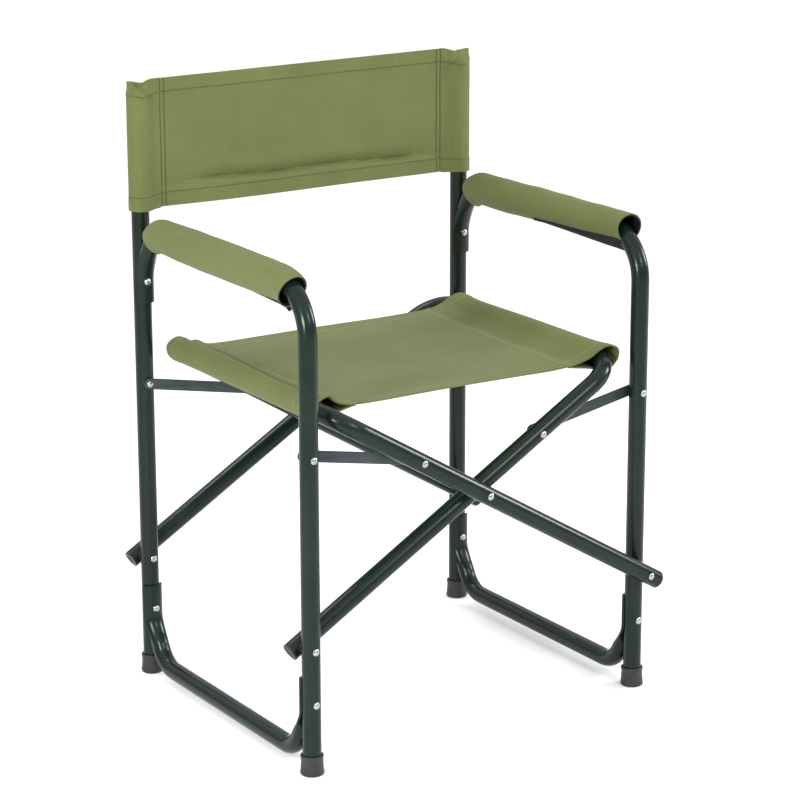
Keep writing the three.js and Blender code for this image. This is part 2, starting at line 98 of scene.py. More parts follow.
RAIL_TAIL = {"left": 0.018, "right": 0.0145}
RAIL_BEND = 0.042
ARM_Z = 0.574
ARM_FRONT_BEND = 0.058
ARM_REAR_BEND = 0.040
ARM_DROP = 0.020
ARM_SADDLE = (0.481, 0.532)
ARM_CRIMP_FROM, ARM_CRIMP_TO = 0.016, 0.026  # below the arm's axis, and above the tube's end
STRETCHER_Z = 0.018
STRETCHER_BEND = 0.039
STRETCHER_RISE = 0.0205
STRETCHER_SADDLE = (0.062, 0.117)
STRETCHER_CRIMP_FROM, STRETCHER_CRIMP_TO = 0.021, 0.016  # below the saddle's foot, and above it
SADDLE_OUT_R = TUBE_R + 0.0033
SADDLE_IN_R = TUBE_R + 0.00025
SADDLE_HALF_ANGLE = math.radians(72)
LINK_ON_RAIL = 0.107
LINK_W = 0.0135
LINK_T = 0.003
LINK_GAP = 0.0005
LINK_EDGE = 0.0006

RING_POINTS = 56  # round a tube
RING_ANGLES = [2 * math.pi * (i + 0.5) / RING_POINTS for i in range(RING_POINTS)]
BEND_STEP = math.radians(4)
CRIMP_STEP = 0.003
TURNED_POINTS = 40  # round a turned piece
ON_AXIS = 1e-7  # a radius that counts as none
WELD_REACH = 1e-6

# ---- Sizes of the canvas ----

CLOTH_T = 0.0012
HEM_EXTRA = 0.0008  # how much thicker a hem is
HEM_STEP = 0.0012  # over how much cloth it thickens
LAP_DEPTH = 1.15  # in thicknesses, a sleeve's lap behind its panel
PANEL_HEM = 0.017
UNSEWN_COLUMNS = 4  # a hem's stitches stop this short of the sleeve's hidden lap
CANVAS_DARK = (0.112, 0.135, 0.040)
CANVAS_LIGHT = (0.136, 0.158, 0.051)
WEAVE_PITCH = 0.0010
SEAM_GROOVE = 0.0012
SEAM_PUCKER = 0.0075
SEAM_RELIEF = 0.0007
SEAM_SHADE = 0.8  # how strongly a seam's line is painted with its shade or highlight
# how strongly a hem's line is painted with its shade or highlight
HEM_SHADE = 0.30
SEAM_DARK = 0.16  # a seam sunk in shadow: its tone against the cloth's
SEAM_PALE = 1.9  # and one that catches the light
# Painted shade: near black on an arm cover's inner face.
PAINTED_INSIDE_SHADE = (0.004, 0.004, 0.004)
STITCH_PITCH = 0.0042
STITCH_LENGTH = 0.0030
STITCH_R = 0.00032
STITCH_SIDES = 6
STITCH_LIFT = 0.15  # of its radius, a thread's middle above the cloth

# ---- Materials ----

BLACK, WHITE = (0, 0, 0), (1, 1, 1)
SCUFF = (0.30, 0.34, 0.32)


class Nodes:
    """A node tree under construction on a material or a world, with short calls for its nodes."""

    def __init__(self, owner, shader="Principled BSDF", **sockets):
        self.owner = owner
        owner.use_nodes = True
        self.tree = owner.node_tree
        self.shader = self.tree.nodes[shader]
        for socket, value in sockets.items():
            self.put(value, self.shader.inputs[socket.replace("_", " ")])

    def put(self, value, socket):
        """A socket linked in, or a number or colour set on the input."""
        if isinstance(value, bpy.types.NodeSocket):
            self.tree.links.new(value, socket)
        else:
            socket.default_value = (*value, 1.0) if socket.type == "RGBA" else value

    def add(self, kind, inputs=(), **settings):
        """A node with its settings, and with its inputs linked or set."""
        node = self.tree.nodes.new("ShaderNode" + kind)
        for setting, value in settings.items():
            setattr(node, setting, value)
        for socket, value in dict(inputs).items():
            self.put(value, node.inputs[socket])
        return node

    def math(self, operation, a, b=0.0):
        return self.add("Math", {0: a, 1: b}, operation=operation).outputs[0]

    def scaled(self, value, amount, base):
        """A value scaled and lifted, for a roughness that varies."""
        return self.math("ADD", self.math("MULTIPLY", value, amount), base)

    def noise(self, vector, scale, detail=2.0, roughness=0.5):
        inputs = {"Vector": vector, "Scale": scale, "Detail": detail, "Roughness": roughness}
        return self.add("TexNoise", inputs).outputs["Fac"]

    def stretched(self, vector, scale):
        return self.add("Mapping", {"Vector": vector, "Scale": scale}).outputs[0]

    def ramp(self, value, stops):
        """Colours along a value: two stops of (value, colour)."""
        node = self.add("ValToRGB", {0: value})
        for element, (place, colour) in zip(node.color_ramp.elements, stops):
            element.position = place
            element.color = (*colour, 1.0)
        return node.outputs[0]

    def mix(self, factor, a, b, blend="MIX"):
        inputs = {0: factor, 6: a, 7: b}
        return self.add("Mix", inputs, data_type="RGBA", blend_type=blend).outputs[2]

    def place(self):
        return self.add("TexCoord").outputs["Object"]

    def bump(self, height, distance, strength=1.0, under=None):
        inputs = {"Strength": strength, "Distance": distance, "Height": height}
        if under is not None:
            inputs["Normal"] = under
        return self.add("Bump", inputs).outputs[0]

    def falloff(self, distance, reach):
        """1 at no distance, easing to 0 at the reach."""
        inputs = {"Value": distance, "From Min": reach, "From Max": 0.0}
        return self.add("MapRange", inputs, interpolation_type="SMOOTHSTEP").outputs["Result"]

    def finished(self, colour, roughness, normal=None):
        """The material, with these set or linked on its shader."""
        self.put(colour, self.shader.inputs["Base Color"])
        self.put(roughness, self.shader.inputs["Roughness"])
        if normal is not None:
            self.put(normal, self.shader.inputs["Normal"])
        return self.owner


def new_material(name, **sockets):
    """A new material under construction, with its shader's plain values."""
    return Nodes(bpy.data.materials.new(name), **sockets)


def enamel(name, dark, light):
    """Dipped gloss enamel over steel: slight orange peel, uneven tone, dust and a few pale scuffs."""
    nodes = new_material(name, Metallic=0.0, Specular_IOR_Level=0.22)
    place = nodes.place()
    tone = nodes.ramp(nodes.noise(place, 22.0, 4.0), [(0.3, dark), (0.7, light)])
    fine = nodes.noise(nodes.stretched(place, (1.0, 1.0, 0.35)), 420.0, 3.0, 0.7)
    scuffs = nodes.ramp(fine, [(0.70, BLACK), (0.74, WHITE)])
    seldom = nodes.ramp(nodes.noise(place, 31.0, 1.0), [(0.60, BLACK), (0.66, WHITE)])
    worn = nodes.math("MULTIPLY", nodes.math("MULTIPLY", scuffs, seldom), 0.35)
    smear = nodes.noise(place, 60.0, 3.0)
    orange_peel = nodes.bump(nodes.noise(place, 260.0, 1.0), 0.00012, 0.5)
    return nodes.finished(nodes.mix(worn, tone, SCUFF), nodes.scaled(smear, 0.16, 0.15), orange_peel)


def bright_steel():
    """Zinc-plated steel, dulled and slightly pitted."""
    nodes = new_material("bright_steel", Metallic=1.0)
    place = nodes.place()
    tone = nodes.noise(place, 500.0, 3.0)
    plating = nodes.ramp(tone, [(0.3, (0.26, 0.28, 0.29)), (0.7, (0.50, 0.52, 0.53))])
    pits = nodes.bump(nodes.noise(place, 900.0, 2.0), 0.00008, 0.6)
    return nodes.finished(plating, nodes.scaled(tone, 0.18, 0.16), pits)


def moulded_plastic(name, dark, light, rough):
    """Moulded plastic: fine spark-eroded grain and dusty, slightly greyed patches."""
    nodes = new_material(name, Specular_IOR_Level=0.4)
    place = nodes.place()
    patches = nodes.noise(place, 70.0, 4.0, 0.6)
    grain = nodes.bump(nodes.noise(place, 1900.0, 2.0), 0.0001, 0.55)
    dusty = nodes.ramp(patches, [(0.35, dark), (0.75, light)])
    return nodes.finished(dusty, nodes.scaled(patches, 0.2, rough), grain)


def canvas(name, across_seams=(), down_seams=(), seam_painted_light=SEAM_DARK, painted_dark_inside=False):
    """Plain-woven polyester canvas, drawn on the flat cut, whose UV map is in metres.

    A seam is given by where it crosses the cut, from its left edge or from its first edge. Its seam and
    hem lines are painted in: darker, as shade in their grooves, or paler, as highlight on their ridges.
    Cloth may also be painted near black on its inner face, as shade inside a sleeve.
    """
    nodes = new_material(name, Sheen_Weight=0.06, Sheen_Roughness=0.4, Specular_IOR_Level=0.22)
    cut = nodes.add("UVMap", uv_map="cloth").outputs[0]
    split = nodes.add("SeparateXYZ", {0: cut})
    turns = 2 * math.pi / WEAVE_PITCH
    warp, weft = (nodes.math("SINE", nodes.math("MULTIPLY", split.outputs[k], turns)) for k in (0, 1))
    weave = nodes.math("MULTIPLY", warp, weft)
    warp_slub, weft_slub = (nodes.noise(nodes.stretched(cut, drawn), 1.0, 2.0)
                            for drawn in ((700.0, 18.0, 1.0), (18.0, 700.0, 1.0)))
    slub = nodes.math("ADD", warp_slub, weft_slub)
    faded = nodes.noise(cut, 9.0, 3.0)
    cloth = nodes.ramp(faded, [(0.3, CANVAS_DARK), (0.7, CANVAS_LIGHT)])
    threads = nodes.ramp(nodes.math("MULTIPLY", slub, 0.5), [(0.35, (0.90,) * 3), (0.65, WHITE)])
    cloth = nodes.mix(1.0, cloth, threads, "MULTIPLY")
    crossings = nodes.ramp(weave, [(0.0, (0.88,) * 3), (1.0, WHITE)])
    cloth = nodes.mix(0.6, cloth, crossings, "MULTIPLY")
    relief = nodes.bump(nodes.noise(cut, 42.0, 3.0, 0.6), 0.0024, 0.55)
    relief = nodes.bump(slub, 0.00020, 0.45, nodes.bump(weave, 0.00014, 0.45, relief))
    grooves, shade, near = 0.0, 0.0, 0.0
    for axis, places, painted_line_strength in ((0, across_seams, SEAM_SHADE), (1, down_seams, HEM_SHADE)):
        for place in places:
            away = nodes.math("ABSOLUTE", nodes.math("SUBTRACT", split.outputs[axis], float(place)))
            groove = nodes.falloff(away, SEAM_GROOVE)
            grooves = nodes.math("MAXIMUM", groove, grooves)
            shade = nodes.math("MAXIMUM", nodes.math("MULTIPLY", groove, painted_line_strength), shade)
            near = nodes.math("MAXIMUM", nodes.falloff(away, SEAM_PUCKER), near)
    if len(across_seams) + len(down_seams):
        gathers = nodes.math("MULTIPLY", nodes.noise(cut, 260.0, 2.0), near)
        # The seam and hem lines are painted towards the cloth's dark tone times the seam factor:
        # painted shade in a groove, or painted highlight on a ridge.
        broken = nodes.math("MULTIPLY", shade, nodes.math("ADD", nodes.noise(cut, 300.0), 0.45))
        cloth = nodes.mix(broken, cloth, tuple(channel * seam_painted_light for channel in CANVAS_DARK))
        relief = nodes.bump(nodes.math("SUBTRACT", gathers, grooves), SEAM_RELIEF, 0.8, relief)
    if painted_dark_inside:
        inside = nodes.add("Attribute", attribute_name="inside").outputs["Fac"]
        # The inner face is painted near black, as shade.
        cloth = nodes.mix(inside, cloth, PAINTED_INSIDE_SHADE)
    return nodes.finished(cloth, nodes.scaled(faded, 0.12, 0.64), relief)


def thread(name, dark, light):
    """Sewing thread."""
    nodes = new_material(name, Sheen_Weight=0.2)
    twist = nodes.noise(nodes.place(), 700.0, 1.0)
    return nodes.finished(nodes.ramp(twist, [(0.35, dark), (0.65, light)]), 0.6)


GREEN = enamel("green_enamel", (0.0036, 0.0110, 0.0066), (0.0064, 0.0165, 0.0108))
LINK_GREEN = enamel("link_enamel", (0.024, 0.034, 0.036), (0.044, 0.060, 0.062))
STEEL = bright_steel()
CAP_PLASTIC = moulded_plastic("cap_plastic", (0.013, 0.013, 0.016), (0.030, 0.030, 0.036), 0.42)
PLUG_PLASTIC = moulded_plastic("plug_plastic", (0.012, 0.014, 0.015), (0.026, 0.028, 0.030), 0.34)
NYLON = moulded_plastic("nylon", (0.010, 0.011, 0.012), (0.022, 0.024, 0.025), 0.36)
TAPE = moulded_plastic("black_tape", (0.0025, 0.0028, 0.003), (0.006, 0.0065, 0.007), 0.70)
# Two copies of one thread: one painted dark, as shade, for the back's seams; one painted pale, as
# highlight, for the seat's seams and the covers' hems.
THREAD_PAINTED_SHADE = thread("thread_painted_shade", (0.022, 0.027, 0.007), (0.050, 0.058, 0.016))
THREAD_PAINTED_HIGHLIGHT = thread("thread_painted_highlight", (0.180, 0.205, 0.075), (0.270, 0.300, 0.125))


# ---- Mesh making ----


def in_scene(name, data):
    """An object of this data, in the scene."""
    made = bpy.data.objects.new(name, data)
    bpy.context.scene.collection.objects.link(made)
    return made


def finished_piece(name, mesh, material, sharp):
    """An object of this mesh with smooth shading up to the sharp angle, in degrees."""
    mesh.shade_smooth()
    mesh.set_sharp_from_angle(angle=math.radians(sharp))
    mesh.materials.clear()
    mesh.materials.append(material)
    return in_scene(name, mesh)


def piece(name, vertices, faces, material, sharp=40):
    """A mesh object from its vertices and faces."""
    mesh = bpy.data.meshes.new(name)
    mesh.from_pydata([tuple(v) for v in vertices], [], faces)
    mesh.validate()
    mesh.update()
    return finished_piece(name, mesh, material, sharp)


def stands_for(made, body, slot, *nodes):
    """The piece rides on a body and replaces CAD nodes; its slot is not used."""
    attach(made, body)
    if nodes:
        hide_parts(*nodes)
    return made


def band(count, first, second):
    """Quads between two closed rings of vertices that start at these indices."""
    following = [(i, (i + 1) % count) for i in range(count)]
    return [(first + i, first + j, second + j, second + i) for i, j in following]


def turned(profile, place, points=TURNED_POINTS):
    """A profile of (radius, height) turned round local Z, closed on the axis or on itself."""
    vertices, rings = [], []
    for radius, height in profile:
        if radius < ON_AXIS:
            rings.append([len(vertices)])
            vertices.append(place @ Vector((0, 0, height)))
            continue
        rings.append([len(vertices) + i for i in range(points)])
        for i in range(points):
            angle = 2 * math.pi * i / points
            point = Vector((radius * math.cos(angle), radius * math.sin(angle), height))
            vertices.append(place @ point)
    closed = len(rings[0]) > 1
    pairs = list(zip(rings, rings[1:])) + ([(rings[-1], rings[0])] if closed else [])
    faces = []
    for low, high in pairs:
        for i in range(points):
            j = (i + 1) % points
            corners = [ring[k % len(ring)] for ring, k in ((low, i), (low, j), (high, j), (high, i))]
            faces.append(tuple(dict.fromkeys(corners)))
    return vertices, faces


def turned_piece(name, profile, place, material, *declared, points=TURNED_POINTS):
    """A turned piece that stands for a CAD node."""
    return stands_for(piece(name, *turned(profile, place, points), material), *declared)


class Route:
    """A path of straight runs and round bends in one plane, as stations of (point, direction)."""

    def __init__(self, corners, radii):
        corners = [Vector(c) for c in corners]
        ways = [(b - a).normalized() for a, b in zip(corners, corners[1:])]
        self.stations = [(corners[0], ways[0])]
        for corner, before, after, radius in zip(corners[1:], ways, ways[1:], radii):
            turn = before.angle(after)
            side = (after - before * before.dot(after)).normalized()
            start = corner - before * radius * math.tan(turn / 2)
            steps = max(2, math.ceil(turn / BEND_STEP))
            for k in range(steps + 1):
                a = turn * k / steps
                point = start + before * radius * math.sin(a) + side * radius * (1 - math.cos(a))
                self.stations.append((point, before * math.cos(a) + side * math.sin(a)))
        self.stations.append((corners[-1], ways[-1]))

    def refined(self, step):
        """The same path with no straight run longer than a step."""
        fine = [self.stations[0]]
        for point, way in self.stations[1:]:
            last, _ = fine[-1]
            parts = max(1, math.ceil((point - last).length / step))
            fine += [(last.lerp(point, k / parts), way) for k in range(1, parts)]
            fine.append((point, way))
        self.stations = fine
        return self


def round_ring(point, way, side):
    """A tube's ring round a station: side is the route's plane normal."""
    over = way.cross(side)
    return [point + side * TUBE_R * math.cos(a) + over * TUBE_R * math.sin(a) for a in RING_ANGLES]


def eased(value):
    """Held between 0 and 1, and leaving and reaching them smoothly."""
    value = np.clip(value, 0.0, 1.0)
    return value * value * (3 - 2 * value)


def crimped_ring(ring, post, facing, far_sign, share):
    """A tube's ring pressed by a share towards a C that wraps a post.

    Facing is +1 behind the post and -1 before it; far_sign tells the half that becomes the C's outside.
    """
    moved = []
    for angle, point in zip(RING_ANGLES, ring):
        far = math.sin(angle) * far_sign > 0
        radius = SADDLE_OUT_R if far else SADDLE_IN_R
        turn = math.asin(math.cos(angle)) / (math.pi / 2) * SADDLE_HALF_ANGLE
        target = Vector((radius * math.sin(turn), facing * radius * math.cos(turn)))
        place = point.lerp(Vector((post[0] + target.x, post[1] + target.y, point.z)), share)
        out = Vector((place.x - post[0], place.y - post[1]))
        if out.length < SADDLE_IN_R:
            out = out.normalized() if out.length > ON_AXIS else Vector((0, facing))
            place.x, place.y = post[0] + out.x * SADDLE_IN_R, post[1] + out.y * SADDLE_IN_R
        moved.append(place)
    return moved


def lofted(rings, start_cap, end_cap):
    """Vertices and faces of rings joined in a row; a cap is 'flat' or 'zip', for a crimped end."""
    vertices = [v for ring in rings for v in ring]
    count = len(rings[0])
    starts = range(0, len(vertices), count)
    faces = [face for low, high in zip(starts, starts[1:]) for face in band(count, low, high)]
    for cap, first, flip in ((start_cap, 0, True), (end_cap, starts[-1], False)):
        if cap == "flat":
            face = range(first, first + count)
            faces.append(tuple(reversed(face) if flip else face))
            continue
        for i in range(count // 2 - 1):
            quad = (first + i, first + i + 1, first + count - 2 - i, first + count - 1 - i)
            faces.append(tuple(reversed(quad)) if flip else quad)
    return vertices, faces


# ---- Side frames ----

ACROSS = Vector((1, 0, 0))


def green_tube(name, body, node, rings, *caps):
    """A painted tube, lofted through its rings."""
    stands_for(piece(name, *lofted(rings, *caps), GREEN), body, "green_paint", node)


def arm_leg_tube(side):
    """Front leg, arm and drop in one bent tube, crimped onto the rear post."""
    x, front, drop = SIDES[side] * HALF_WIDTH, FRONT[side], REAR[side] - ARM_DROP
    end = ARM_SADDLE[0]
    corners = [(x, front, TUBE_FOOT), (x, front, ARM_Z), (x, drop, ARM_Z), (x, drop, end)]
    stations = Route(corners, [ARM_FRONT_BEND, ARM_REAR_BEND]).stations[:-1]
    last, down = stations[-1]  # from here to the end in short steps, for the crimp
    steps = math.ceil((last.z - end) / CRIMP_STEP)
    stations += [(last + Vector((0, 0, (end - last.z) * k / steps)), down) for k in range(1, steps + 1)]
    start, full = ARM_Z - ARM_CRIMP_FROM, end + ARM_CRIMP_TO
    rings = []
    for point, way in stations:
        ring = round_ring(point, way, ACROSS)
        if point.y > 0:
            share = eased((start - point.z) / (start - full))
            ring = crimped_ring(ring, (x, REAR[side]), -1, 1, share)
        rings.append(ring)
    name, node = f"front_leg_and_arm_{side}", f"arm_leg_tube_{side}"
    green_tube(name, f"frame_{side}", node, rings, "flat", "zip")


def stretcher(side):
    """A bottom stretcher, its turned-up ends crimped onto the leg and the post."""
    x, front, rear = SIDES[side] * HALF_WIDTH, FRONT[side], REAR[side]
    top = STRETCHER_SADDLE[1]
    fore, aft = front + STRETCHER_RISE, rear - STRETCHER_RISE
    corners = [(x, fore, top), (x, fore, STRETCHER_Z), (x, aft, STRETCHER_Z), (x, aft, top)]
    route = Route(corners, [STRETCHER_BEND, STRETCHER_BEND]).refined(CRIMP_STEP)
    start = STRETCHER_SADDLE[0] - STRETCHER_CRIMP_FROM
    full = STRETCHER_SADDLE[0] + STRETCHER_CRIMP_TO
    rings = []
    for point, way in route.stations:
        share = eased((point.z - start) / (full - start))
        near_front = point.y < (front + rear) / 2
        post = (x, front if near_front else rear)
        ring = round_ring(point, way, ACROSS)
        if point.z > start:
            ring = crimped_ring(ring, post, 1 if near_front else -1, -1, share)
        rings.append(ring)
    name, node = f"floor_stretcher_{side}", f"stretcher_{side}"
    green_tube(name, f"frame_{side}", node, rings, "zip", "zip")


def rear_post(side):
    """A straight rear post with an eased top edge."""
    edge = 0.0006
    profile = [(0, TUBE_FOOT), (TUBE_R, TUBE_FOOT), (TUBE_R, POST_TOP - edge)]
    profile += [(TUBE_R - edge, POST_TOP), (0, POST_TOP)]
    place = Matrix.Translation((SIDES[side] * HALF_WIDTH, REAR[side], 0))
    declared = f"frame_{side}", "green_paint", f"rear_post_{side}"
    turned_piece(f"back_post_{side}", profile, place, GREEN, *declared, points=RING_POINTS)


def arc_profile(centre, radius, start, end, steps):
    """Points of an arc in a (radius, height) profile, angles in degrees."""
    angles = [math.radians(start + (end - start) * k / steps) for k in range(steps + 1)]
    return [(centre[0] + radius * math.cos(a), centre[1] + radius * math.sin(a)) for a in angles]


def foot_cap(end, side):
    """A moulded cap: worn round foot, flared skirt, a soft lip round the tube."""
    node = f"{end}_foot_cap_{side}"
    low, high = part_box(node)
    foot_r, height = (high.y - low.y) / 2, high.z
    lip_r, inside = TUBE_R + 0.0020, TUBE_R + 0.0003
    floor = TUBE_FOOT - 0.0003
    profile = [(0, 0), (foot_r - 0.0030, 0)]
    profile += arc_profile((foot_r - 0.0022, 0.0022), 0.0022, -80, 0, 6)
    profile += [(foot_r - 0.0001, 0.0045), (foot_r - 0.0005, 0.0060)]
    profile += [(lip_r + 0.0002, 0.0105), (lip_r, 0.0140), (lip_r, height - 0.0042)]
    profile += [(lip_r + 0.0005, height - 0.0034), (lip_r + 0.0006, height - 0.0012)]
    profile += arc_profile((lip_r - 0.0006, height - 0.0011), 0.0011, 10, 90, 4)
    profile += [(inside, height - 0.0004), (inside, floor), (0, floor)]
    place = Matrix.Translation((*middle(node).xy, 0))
    declared = f"frame_{side}", "dark_plastic", node
    turned_piece(f"rubber_cap_{end}_{side}", profile, place, CAP_PLASTIC, *declared, points=64)


def tube_plug(name, body, node, place):
    """A push-in plug, a soft flange with a dished middle; local Z leaves the tube from its end."""
    profile = [(0, -0.0100), (0.0078, -0.0100), (0.0085, -0.0090), (0.0087, 0.0001)]
    profile.append((TUBE_R - 0.0001, 0.0001))
    profile += arc_profile((TUBE_R - 0.0011, 0.0013), 0.0011, -20, 90, 6)
    profile += [(0.0078, 0.0023), (0.0070, 0.0017), (0.0060, 0.0010), (0.0030, 0.0008), (0, 0.0008)]
    turned_piece(name, profile, place, PLUG_PLASTIC, body, "dark_plastic", node, points=48)


# ---- Fasteners ----

HEAD_R = 0.0042
HEAD_H = 0.0022
HEAD_RIM = 0.0004
SHANK_R = 0.0025
BORE_R = SHANK_R + 0.0004


def domed_head(at, out):
    """Profile points from a rivet head's seat to its crown; out is +1 or -1 along the rivet."""
    rise = HEAD_H - HEAD_RIM
    sphere_r = (HEAD_R ** 2 + rise ** 2) / (2 * rise)
    low = math.degrees(math.asin(1 - rise / sphere_r))
    dome = arc_profile((0, HEAD_H - sphere_r), sphere_r, low, 90, 8)
    edge = [(SHANK_R, at), (HEAD_R - 0.0002, at), (HEAD_R, at + out * HEAD_RIM * 0.6)]
    return edge + [(max(r, 0), at + out * h) for r, h in dome]


def rolled_tail(at, out):
    """Profile points of the rolled-over tail of a semi-tubular rivet, with its hollow."""
    roll = arc_profile((0.0029, 0.0003), 0.0012, -10, 170, 10)
    points = [(SHANK_R, at), (0.0041, at)] + [(r, at + out * h) for r, h in roll]
    return points + [(0.0015, at - out * 0.0008), (0, at - out * 0.0010)]


def along_y(node):
    """Places local Z along +Y, through a CAD node's middle."""
    at = middle(node)
    return Matrix.Translation((at.x, 0, at.z)) @ Matrix.Rotation(-math.pi / 2, 4, "X")


def rivet(node, body, flush=False):
    """A rivet with a rolled tail behind, or with one end flush where a link's stud continues it."""
    low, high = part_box(node)
    front, rear = low.y + HEAD_H, high.y - HEAD_H
    if not flush:
        profile = domed_head(front, -1)[::-1] + rolled_tail(rear, 1)
    elif node.startswith("front"):
        profile = domed_head(front, -1)[::-1] + [(SHANK_R, high.y), (0, high.y)]
    else:
        profile = [(0, low.y), (SHANK_R, low.y)] + domed_head(rear, 1)
    turned_piece(node + "_steel", profile, along_y(node), STEEL, body, "bright_steel", node)


def washer(node, body):
    """A nylon washer with an eased rim."""
    low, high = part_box(node)
    outer, edge = (high.x - low.x) / 2, 0.0004
    profile = [(BORE_R, low.y), (outer - edge, low.y), (outer, low.y + edge)]
    profile += [(outer, high.y - edge), (outer - edge, high.y), (BORE_R, high.y)]
    turned_piece(node + "_ring", profile, along_y(node), NYLON, body, "nylon", node)


# ---- Rails and links ----


def rail_way(side):
    """A rail's direction, up from the cross pivot."""
    return Vector((SIDES[side] * math.cos(RAIL_SLOPE), 0, math.sin(RAIL_SLOPE)))


def on_rail(side, reach, y=0.0):
    """The point of a rail's axis this far up from the cross pivot."""
    return Vector((0, y, CROSS_Z)) + rail_way(side) * reach


def seat_rail(side):
    """A U-shaped rail: two crossing legs, and the stretch that carries the seat."""
    tail = -(RAIL_LOWER + RAIL_TAIL[side])
    front, rear = FRONT[side], REAR[side]
    places = [(tail, front), (RAIL_TOP, front), (RAIL_TOP, rear), (tail, rear)]
    route = Route([on_rail(side, *place) for place in places], [RAIL_BEND, RAIL_BEND])
    normal = rail_way(side).cross(Vector((0, 1, 0)))
    rings = [round_ring(point, way, normal) for point, way in route.stations]
    name, node = f"crossed_rail_{side}", f"seat_rail_{side}"
    green_tube(name, f"rail_{side}", node, rings, "flat", "flat")


def rail_plug(end, side):
    """The plug in a rail's lower end."""
    foot = on_rail(side, -(RAIL_LOWER + RAIL_TAIL[side]), ENDS[end][side])
    down = (-rail_way(side)).to_track_quat("Z", "Y").to_matrix().to_4x4()
    name, node = f"rail_end_plug_{end}_{side}", f"rail_plug_{end}_{side}"
    tube_plug(name, f"rail_{side}", node, Matrix.Translation(foot) @ down)


def plate(name, loops):
    """A flat mesh in XY as thick as a link, with eased edges: one loop is its rim, one a hole."""
    outline = bpy.data.curves.new(name, "CURVE")
    outline.dimensions = "2D"
    outline.fill_mode = "BOTH"
    outline.bevel_depth = LINK_EDGE
    outline.bevel_resolution = 3
    outline.offset = -LINK_EDGE
    outline.extrude = LINK_T / 2 - LINK_EDGE
    for loop in loops:
        spline = outline.splines.new("POLY")
        spline.points.add(len(loop) - 1)
        for point, (x, y) in zip(spline.points, loop):
            point.co = (x, y, 0, 1)
        spline.use_cyclic_u = True
    drawn = in_scene(name + "_outline", outline)
    bpy.context.view_layer.update()
    drawn_now = drawn.evaluated_get(bpy.context.evaluated_depsgraph_get())
    mesh = bpy.data.meshes.new_from_object(drawn_now)
    bpy.data.objects.remove(drawn)
    work = bmesh.new()  # a curve's mesh leaves its parts unjoined
    work.from_mesh(mesh)
    bmesh.ops.remove_doubles(work, verts=work.verts, dist=WELD_REACH)
    bmesh.ops.recalc_face_normals(work, faces=work.faces)
    work.to_mesh(mesh)
    work.free()
    return mesh


def link(end, side):
    """A flat bar with round ends, bored at the frame, and its stud at the rail."""
    node = f"{end}_link_{side}"
    inward = 1 if end == "front" else -1
    near = ENDS[end][side] + inward * (TUBE_R + LINK_GAP)
    far = near + inward * LINK_T
    at_frame = Vector((SIDES[side] * HALF_WIDTH, 0, LINK_Z))
    at_rail = on_rail(side, LINK_ON_RAIL)
    way = at_rail - at_frame
    lean = math.degrees(math.atan2(way.z, way.x))
    rim = arc_profile(at_rail.xz, LINK_W / 2, lean - 90, lean + 90, 16)
    rim += arc_profile(at_frame.xz, LINK_W / 2, lean + 90, lean + 270, 16)
    hole = arc_profile(at_frame.xz, BORE_R + LINK_EDGE, 0, -345, 23)
    mesh = plate(node, [rim, hole])
    upright_plate = Matrix.Rotation(math.pi / 2, 4, "X")
    mesh.transform(Matrix.Translation((0, (near + far) / 2, 0)) @ upright_plate)
    bar = finished_piece(f"{end}_link_bar_{side}", mesh, LINK_GREEN, 50)
    stands_for(bar, node, "link_paint", node)
    out = Matrix.Rotation(-inward * math.pi / 2, 4, "X")
    profile = [(0, -LINK_T / 2), (SHANK_R, -LINK_T / 2)] + domed_head(0, 1)
    place = Matrix.Translation((at_rail.x, far, at_rail.z)) @ out
    turned_piece(f"{end}_link_stud_{side}", profile, place, STEEL, node, "bright_steel")


# ---- Cloth ----


def unit(vector):
    """The vector at a length of 1."""
    return vector / np.linalg.norm(vector)


def normals_of(grid):
    """Unit normals of a grid of points, rows by columns."""
    normal = np.cross(np.gradient(grid, axis=1), np.gradient(grid, axis=0))
    return normal / np.maximum(np.linalg.norm(normal, axis=2, keepdims=True), 1e-12)


def cut_lengths(grid):
    """Distances along a sheet's flat cut, of its columns and of its rows."""
    across = np.linalg.norm(np.diff(grid, axis=1), axis=2).mean(axis=0)
    down = np.linalg.norm(np.diff(grid, axis=0), axis=2).mean(axis=1)
    return np.concatenate([[0], np.cumsum(across)]), np.concatenate([[0], np.cumsum(down)])


def hemmed_wall(from_edge, hem):
    """The cloth's thickness by distance from an edge: it is folded over within the hem."""
    return CLOTH_T + HEM_EXTRA * np.clip((hem - from_edge) / HEM_STEP, 0, 1)


